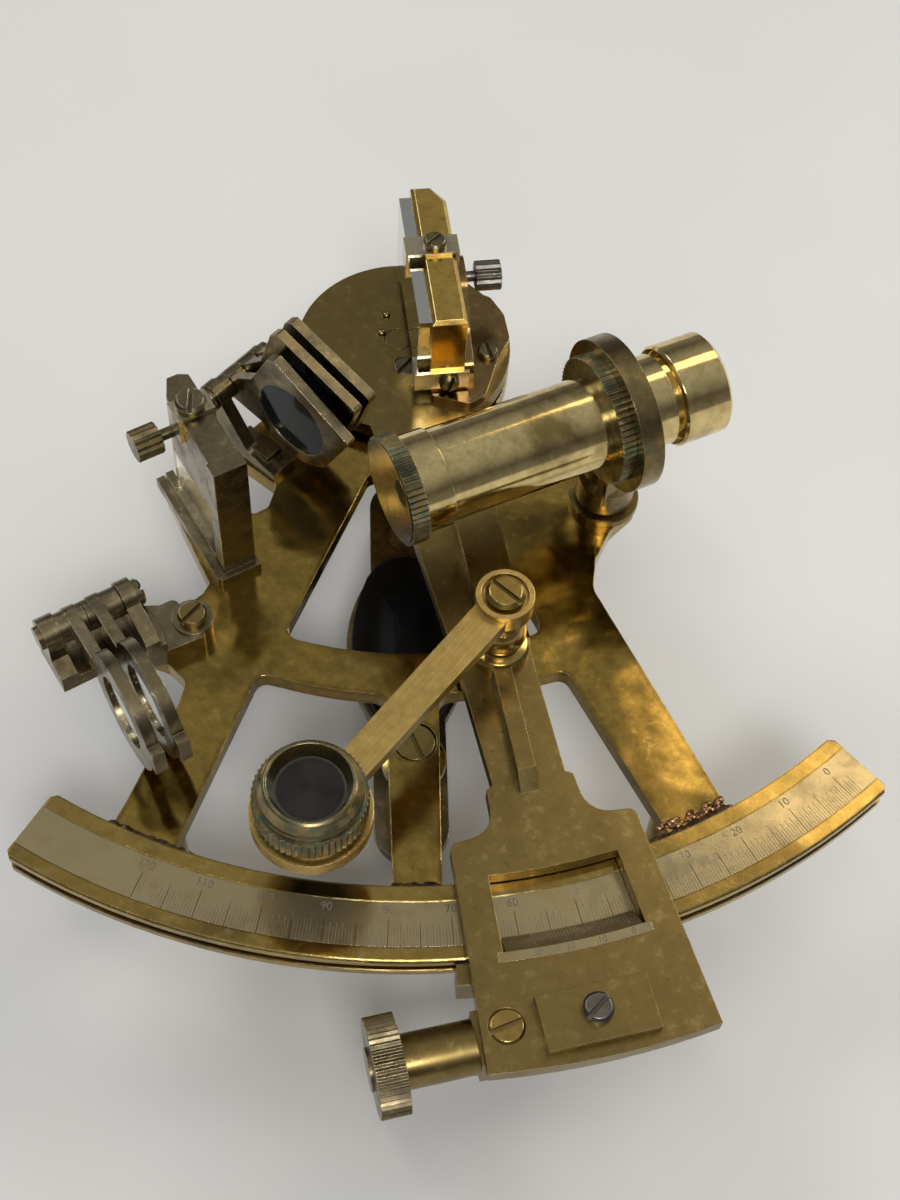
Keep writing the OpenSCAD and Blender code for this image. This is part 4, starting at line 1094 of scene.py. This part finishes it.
@dataclass
class Telescope:
    """The telescope on its foot, with the cap's large hole, a disc of painted shade, and the ferrule, both
    added by this script.
    """

    tube_radius: float = 7.15
    cap_radius: float = 7.9
    cap_length: float = 2.7
    plate_thickness: float = 0.03  # of the thin plate on the cap's face
    peep: Point = (-3.8, -4.5, 0.0)  # middle of the hole beside the axis
    peep_radius: float = 2.1
    peep_foot: float = 0.02  # where the hole's disc and rim start on the axis
    peep_top: float = 0.05
    rim_width: float = 0.12
    rim_top: float = 0.065
    ferrule_length: float = 3.9
    ferrule_lap: float = 0.1  # how far the ferrule goes under the cap
    ferrule_thickness: float = 0.16
    ferrule_depth: float = 0.05  # of its inner face in the tube's wall
    seam_width: float = 0.45
    seam_thickness: float = 0.06
    ring_steps: int = 72

    def axis(self) -> Matrix:
        """Finds the outer face of the cap.

        Returns:
            The face's own frame, with Z along the axis, away from the eye.
        """
        cap, tube = nodes("objective_cap", "telescope_tube")
        middles = [sum((piece.matrix_world @ Vector(corner) for corner in piece.bound_box), Vector())
                   / len(piece.bound_box) for piece in (cap, tube)]
        ahead = (middles[0] - middles[1]).normalized()
        face = max((cap.matrix_world @ vert.co - middles[1]).dot(ahead) for vert in cap.data.vertices)
        side = ahead.cross(Vector((0, 0, 1))).normalized()
        turn = Matrix((side, ahead.cross(side), ahead)).transposed().to_4x4()
        return Matrix.Translation(middles[1] + face * ahead) @ turn

    def ring(self, inner: float, outer: float, low: float, high: float, at: Point = (0.0, 0.0, 0.0)) -> Shape:
        """Makes a ring round the axis.

        Args:
            inner: inner radius, in mm. A ring with none is a disc.
            outer: outer radius, in mm.
            low: where it starts on the axis, in mm from the cap's face.
            high: where it ends.
            at: its middle, in mm beside the axis.

        Returns:
            The mesh of the ring.
        """
        shape = bmesh.new()
        corners = [(inner, low), (outer, low), (outer, high), (inner, high)]
        points = [shape.verts.new(Vector((radius, 0, place)) * MM) for radius, place in corners]
        edges = [shape.edges.new(ends) for ends in zip(points, points[1:] + points[:1])]
        bmesh.ops.spin(shape, geom=points + edges, cent=(0, 0, 0), axis=(0, 0, 1), angle=math.tau,
                       steps=self.ring_steps, use_merge=True)
        bmesh.ops.remove_doubles(shape, verts=shape.verts, dist=1e-6)
        bmesh.ops.recalc_face_normals(shape, faces=shape.faces)
        matrix = self.axis() @ Matrix.Translation(Vector(at) * MM)
        bmesh.ops.transform(shape, matrix=matrix, verts=shape.verts)
        return shape

    def face(self) -> list[Piece]:
        """Makes the cap's face: a thin plate, the hole as a near-black disc of painted shade, and the hole's
        rim.

        Returns:
            The three pieces.
        """
        radius, foot = self.peep_radius, self.peep_foot
        plate = self.ring(0.0, self.cap_radius, 0.0, self.plate_thickness)
        hole = self.ring(0.0, radius, foot, self.peep_top, self.peep)
        rim = self.ring(radius, radius + self.rim_width, foot, self.rim_top, self.peep)
        return [finished("cap_face", plate, Body.TELESCOPE, Palette.umber),
                # Painted shade: the inside of the hole is drawn as a near-black disc.
                finished("cap_peep_painted_shade", hole, Body.TELESCOPE, Palette.soot),
                finished("cap_peep_rim", rim, Body.TELESCOPE, Palette.golden)]

    def ferrule(self) -> list[Piece]:
        """Makes the smooth sleeve behind the cap and the dark seam at its end.

        Returns:
            The seam and the sleeve.
        """
        inner = self.tube_radius - self.ferrule_depth
        end = -self.cap_length - self.ferrule_length
        seam = self.ring(inner, self.tube_radius + self.seam_thickness, end - self.seam_width, end)
        sleeve = self.ring(inner, self.tube_radius + self.ferrule_thickness, end,
                           self.ferrule_lap - self.cap_length)
        return [finished("ferrule_seam", seam, Body.TELESCOPE, Palette.soot),
                finished("ferrule_sleeve", sleeve, Body.TELESCOPE, Palette.pale)]

    def build(self) -> list[Piece]:
        """Dresses the telescope's nodes and adds the cap's face and the ferrule.

        Returns:
            The pieces of the cap's face and of the ferrule.
        """
        Palette.pale.dress(*nodes("telescope_tube", "draw_tube", "eyecap"))
        Palette.collar.dress(*nodes("telescope_collar"))
        Palette.knurl.dress(*nodes("telescope_flange", "objective_cap"))
        Palette.lens.dress(*nodes("objective_lens", "eye_lens"))
        return self.face() + self.ferrule()


@dataclass
class FineAdjustment:
    """The tangent screw, the clamp and the slide plate."""

    def build(self) -> list[Piece]:
        """Dresses the nodes of the fine adjustment.

        Returns:
            No piece, as it adds none.
        """
        Palette.olive.dress(*nodes("tangent_bearing", "clamp_block", "slide_plate"))
        Palette.golden.dress(*nodes("tangent_bearing_screw"))
        Palette.bronze.dress(*nodes("tangent_screw", "clamp_screw"))
        Palette.steel.dress(*nodes("slide_screw"))
        return []


@dataclass
class Lamp:
    """One soft lamp of the studio. Places and sizes are in metres, power is in watts."""

    name: str
    place: Point
    size: tuple[float, float]
    power: float
    colour: Colour
    aim: Point = (0.0, 0.0, 0.03)

    def build(self) -> None:
        """Adds the lamp."""
        data = bpy.data.lights.new(self.name, "AREA")
        data.shape = "RECTANGLE"
        data.size, data.size_y = self.size
        data.energy = self.power
        data.color = self.colour
        lamp = bpy.data.objects.new(self.name, data)
        lamp.location = self.place
        lamp.rotation_euler = (Vector(self.aim) - Vector(self.place)).to_track_quat("-Z", "Y").to_euler()
        bpy.context.scene.collection.objects.link(lamp)


@dataclass
class Studio:
    """The table, the lamps, the world and the camera."""

    focal: float = 53.22
    sensor: float = 36.0
    nearest: float = 0.01  # what the camera sees starts here, in metres
    eye: Point = (-9.357, -195.765, 261.517)  # the camera's place from the pivot, in mm
    table_half: float = 1.6  # half the table's width, in metres
    table_cells: int = 8
    # Height and grey of each stop of the world: walls, their darkest band, ceiling and its middle.
    sky: tuple[tuple[float, float], ...] = ((0.0, 0.20), (0.40, 0.10), (0.78, 0.34), (1.0, 0.44))
    sky_blue: float = 0.985  # beside red and green
    lamps: list[Lamp] = field(default_factory=lambda: [
        Lamp("window", (1.29, 0.90, 1.23), (1.1, 0.8), 18.0, (1.0, 0.96, 0.90)),
        Lamp("room", (-1.14, 0.96, 1.34), (0.95, 0.75), 10.5, (0.92, 0.96, 1.0)),
        Lamp("front", (0.10, -1.10, 1.60), (0.6, 0.5), 15.5, (1.0, 0.99, 0.98), (0.0, -0.10, 0.0)),
        Lamp("lath", (-0.20, -0.15, 1.60), (1.0, 0.035), 2.2, (1.0, 0.90, 0.70)),
        Lamp("glow", (0.63, 0.86, 1.72), (0.62, 0.34), 1.6, (1.0, 0.80, 0.50)),
    ])

    def table(self) -> None:
        """Adds the table."""
        shape = bmesh.new()
        bmesh.ops.create_grid(shape, x_segments=self.table_cells, y_segments=self.table_cells,
                              size=self.table_half)
        mesh = bpy.data.meshes.new("table")
        shape.to_mesh(mesh)
        shape.free()
        table = bpy.data.objects.new("table", mesh)
        bpy.context.scene.collection.objects.link(table)
        Palette.table.dress(table)

    def world(self) -> None:
        """Sets a pale ceiling above darker walls."""
        world = bpy.data.worlds.new("studio")
        world.use_nodes = True
        tree = world.node_tree
        back = tree.nodes["Background"]
        coord = tree.nodes.new("ShaderNodeTexCoord")
        split = tree.nodes.new("ShaderNodeSeparateXYZ")
        ramp = tree.nodes.new("ShaderNodeValToRGB")
        tree.links.new(coord.outputs["Generated"], split.inputs[0])
        tree.links.new(split.outputs["Z"], ramp.inputs[0])
        stops = ramp.color_ramp.elements
        for height, _ in self.sky[1:-1]:
            stops.new(height)
        for stop, (height, grey) in zip(stops, self.sky):
            stop.position = height
            stop.color = (grey, grey, self.sky_blue * grey, 1)
        tree.links.new(ramp.outputs[0], back.inputs[0])
        back.inputs[1].default_value = 1.0
        bpy.context.scene.world = world

    def camera(self) -> None:
        """Adds the camera where the photograph was taken."""
        data = bpy.data.cameras.new("photo_camera")
        data.sensor_width = self.sensor
        data.lens = self.focal
        data.clip_start = self.nearest
        camera = bpy.data.objects.new("photo_camera", data)
        right, down, ahead = (Vector(row) for row in CAMERA_ROWS)
        turn = Matrix((right, -down, -ahead)).transposed().to_4x4()
        camera.matrix_world = Matrix.Translation(PIVOT + Vector(self.eye) * MM) @ turn
        bpy.context.scene.collection.objects.link(camera)
        bpy.context.scene.camera = camera

    def build(self) -> None:
        """Sets up the whole studio."""
        self.camera()
        self.table()
        self.world()
        for lamp in self.lamps:
            lamp.build()
        bpy.context.scene.view_settings.view_transform = "Standard"


def main() -> None:
    """Builds the studio and every sub-assembly in order."""
    logging.basicConfig(level=logging.INFO, format="%(name)s: %(message)s")
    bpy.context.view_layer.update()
    Studio().build()
    for assembly in (FrameCasting(), GraduatedArc(), HandleGrip(), IndexArm(), Vernier(), Mirrors(), Shades(),
                     Telescope(), FineAdjustment()):
        made = assembly.build()
        LOG.info("%s: %d new pieces", type(assembly).__name__, len(made))


if __name__ == "__main__":
    main()
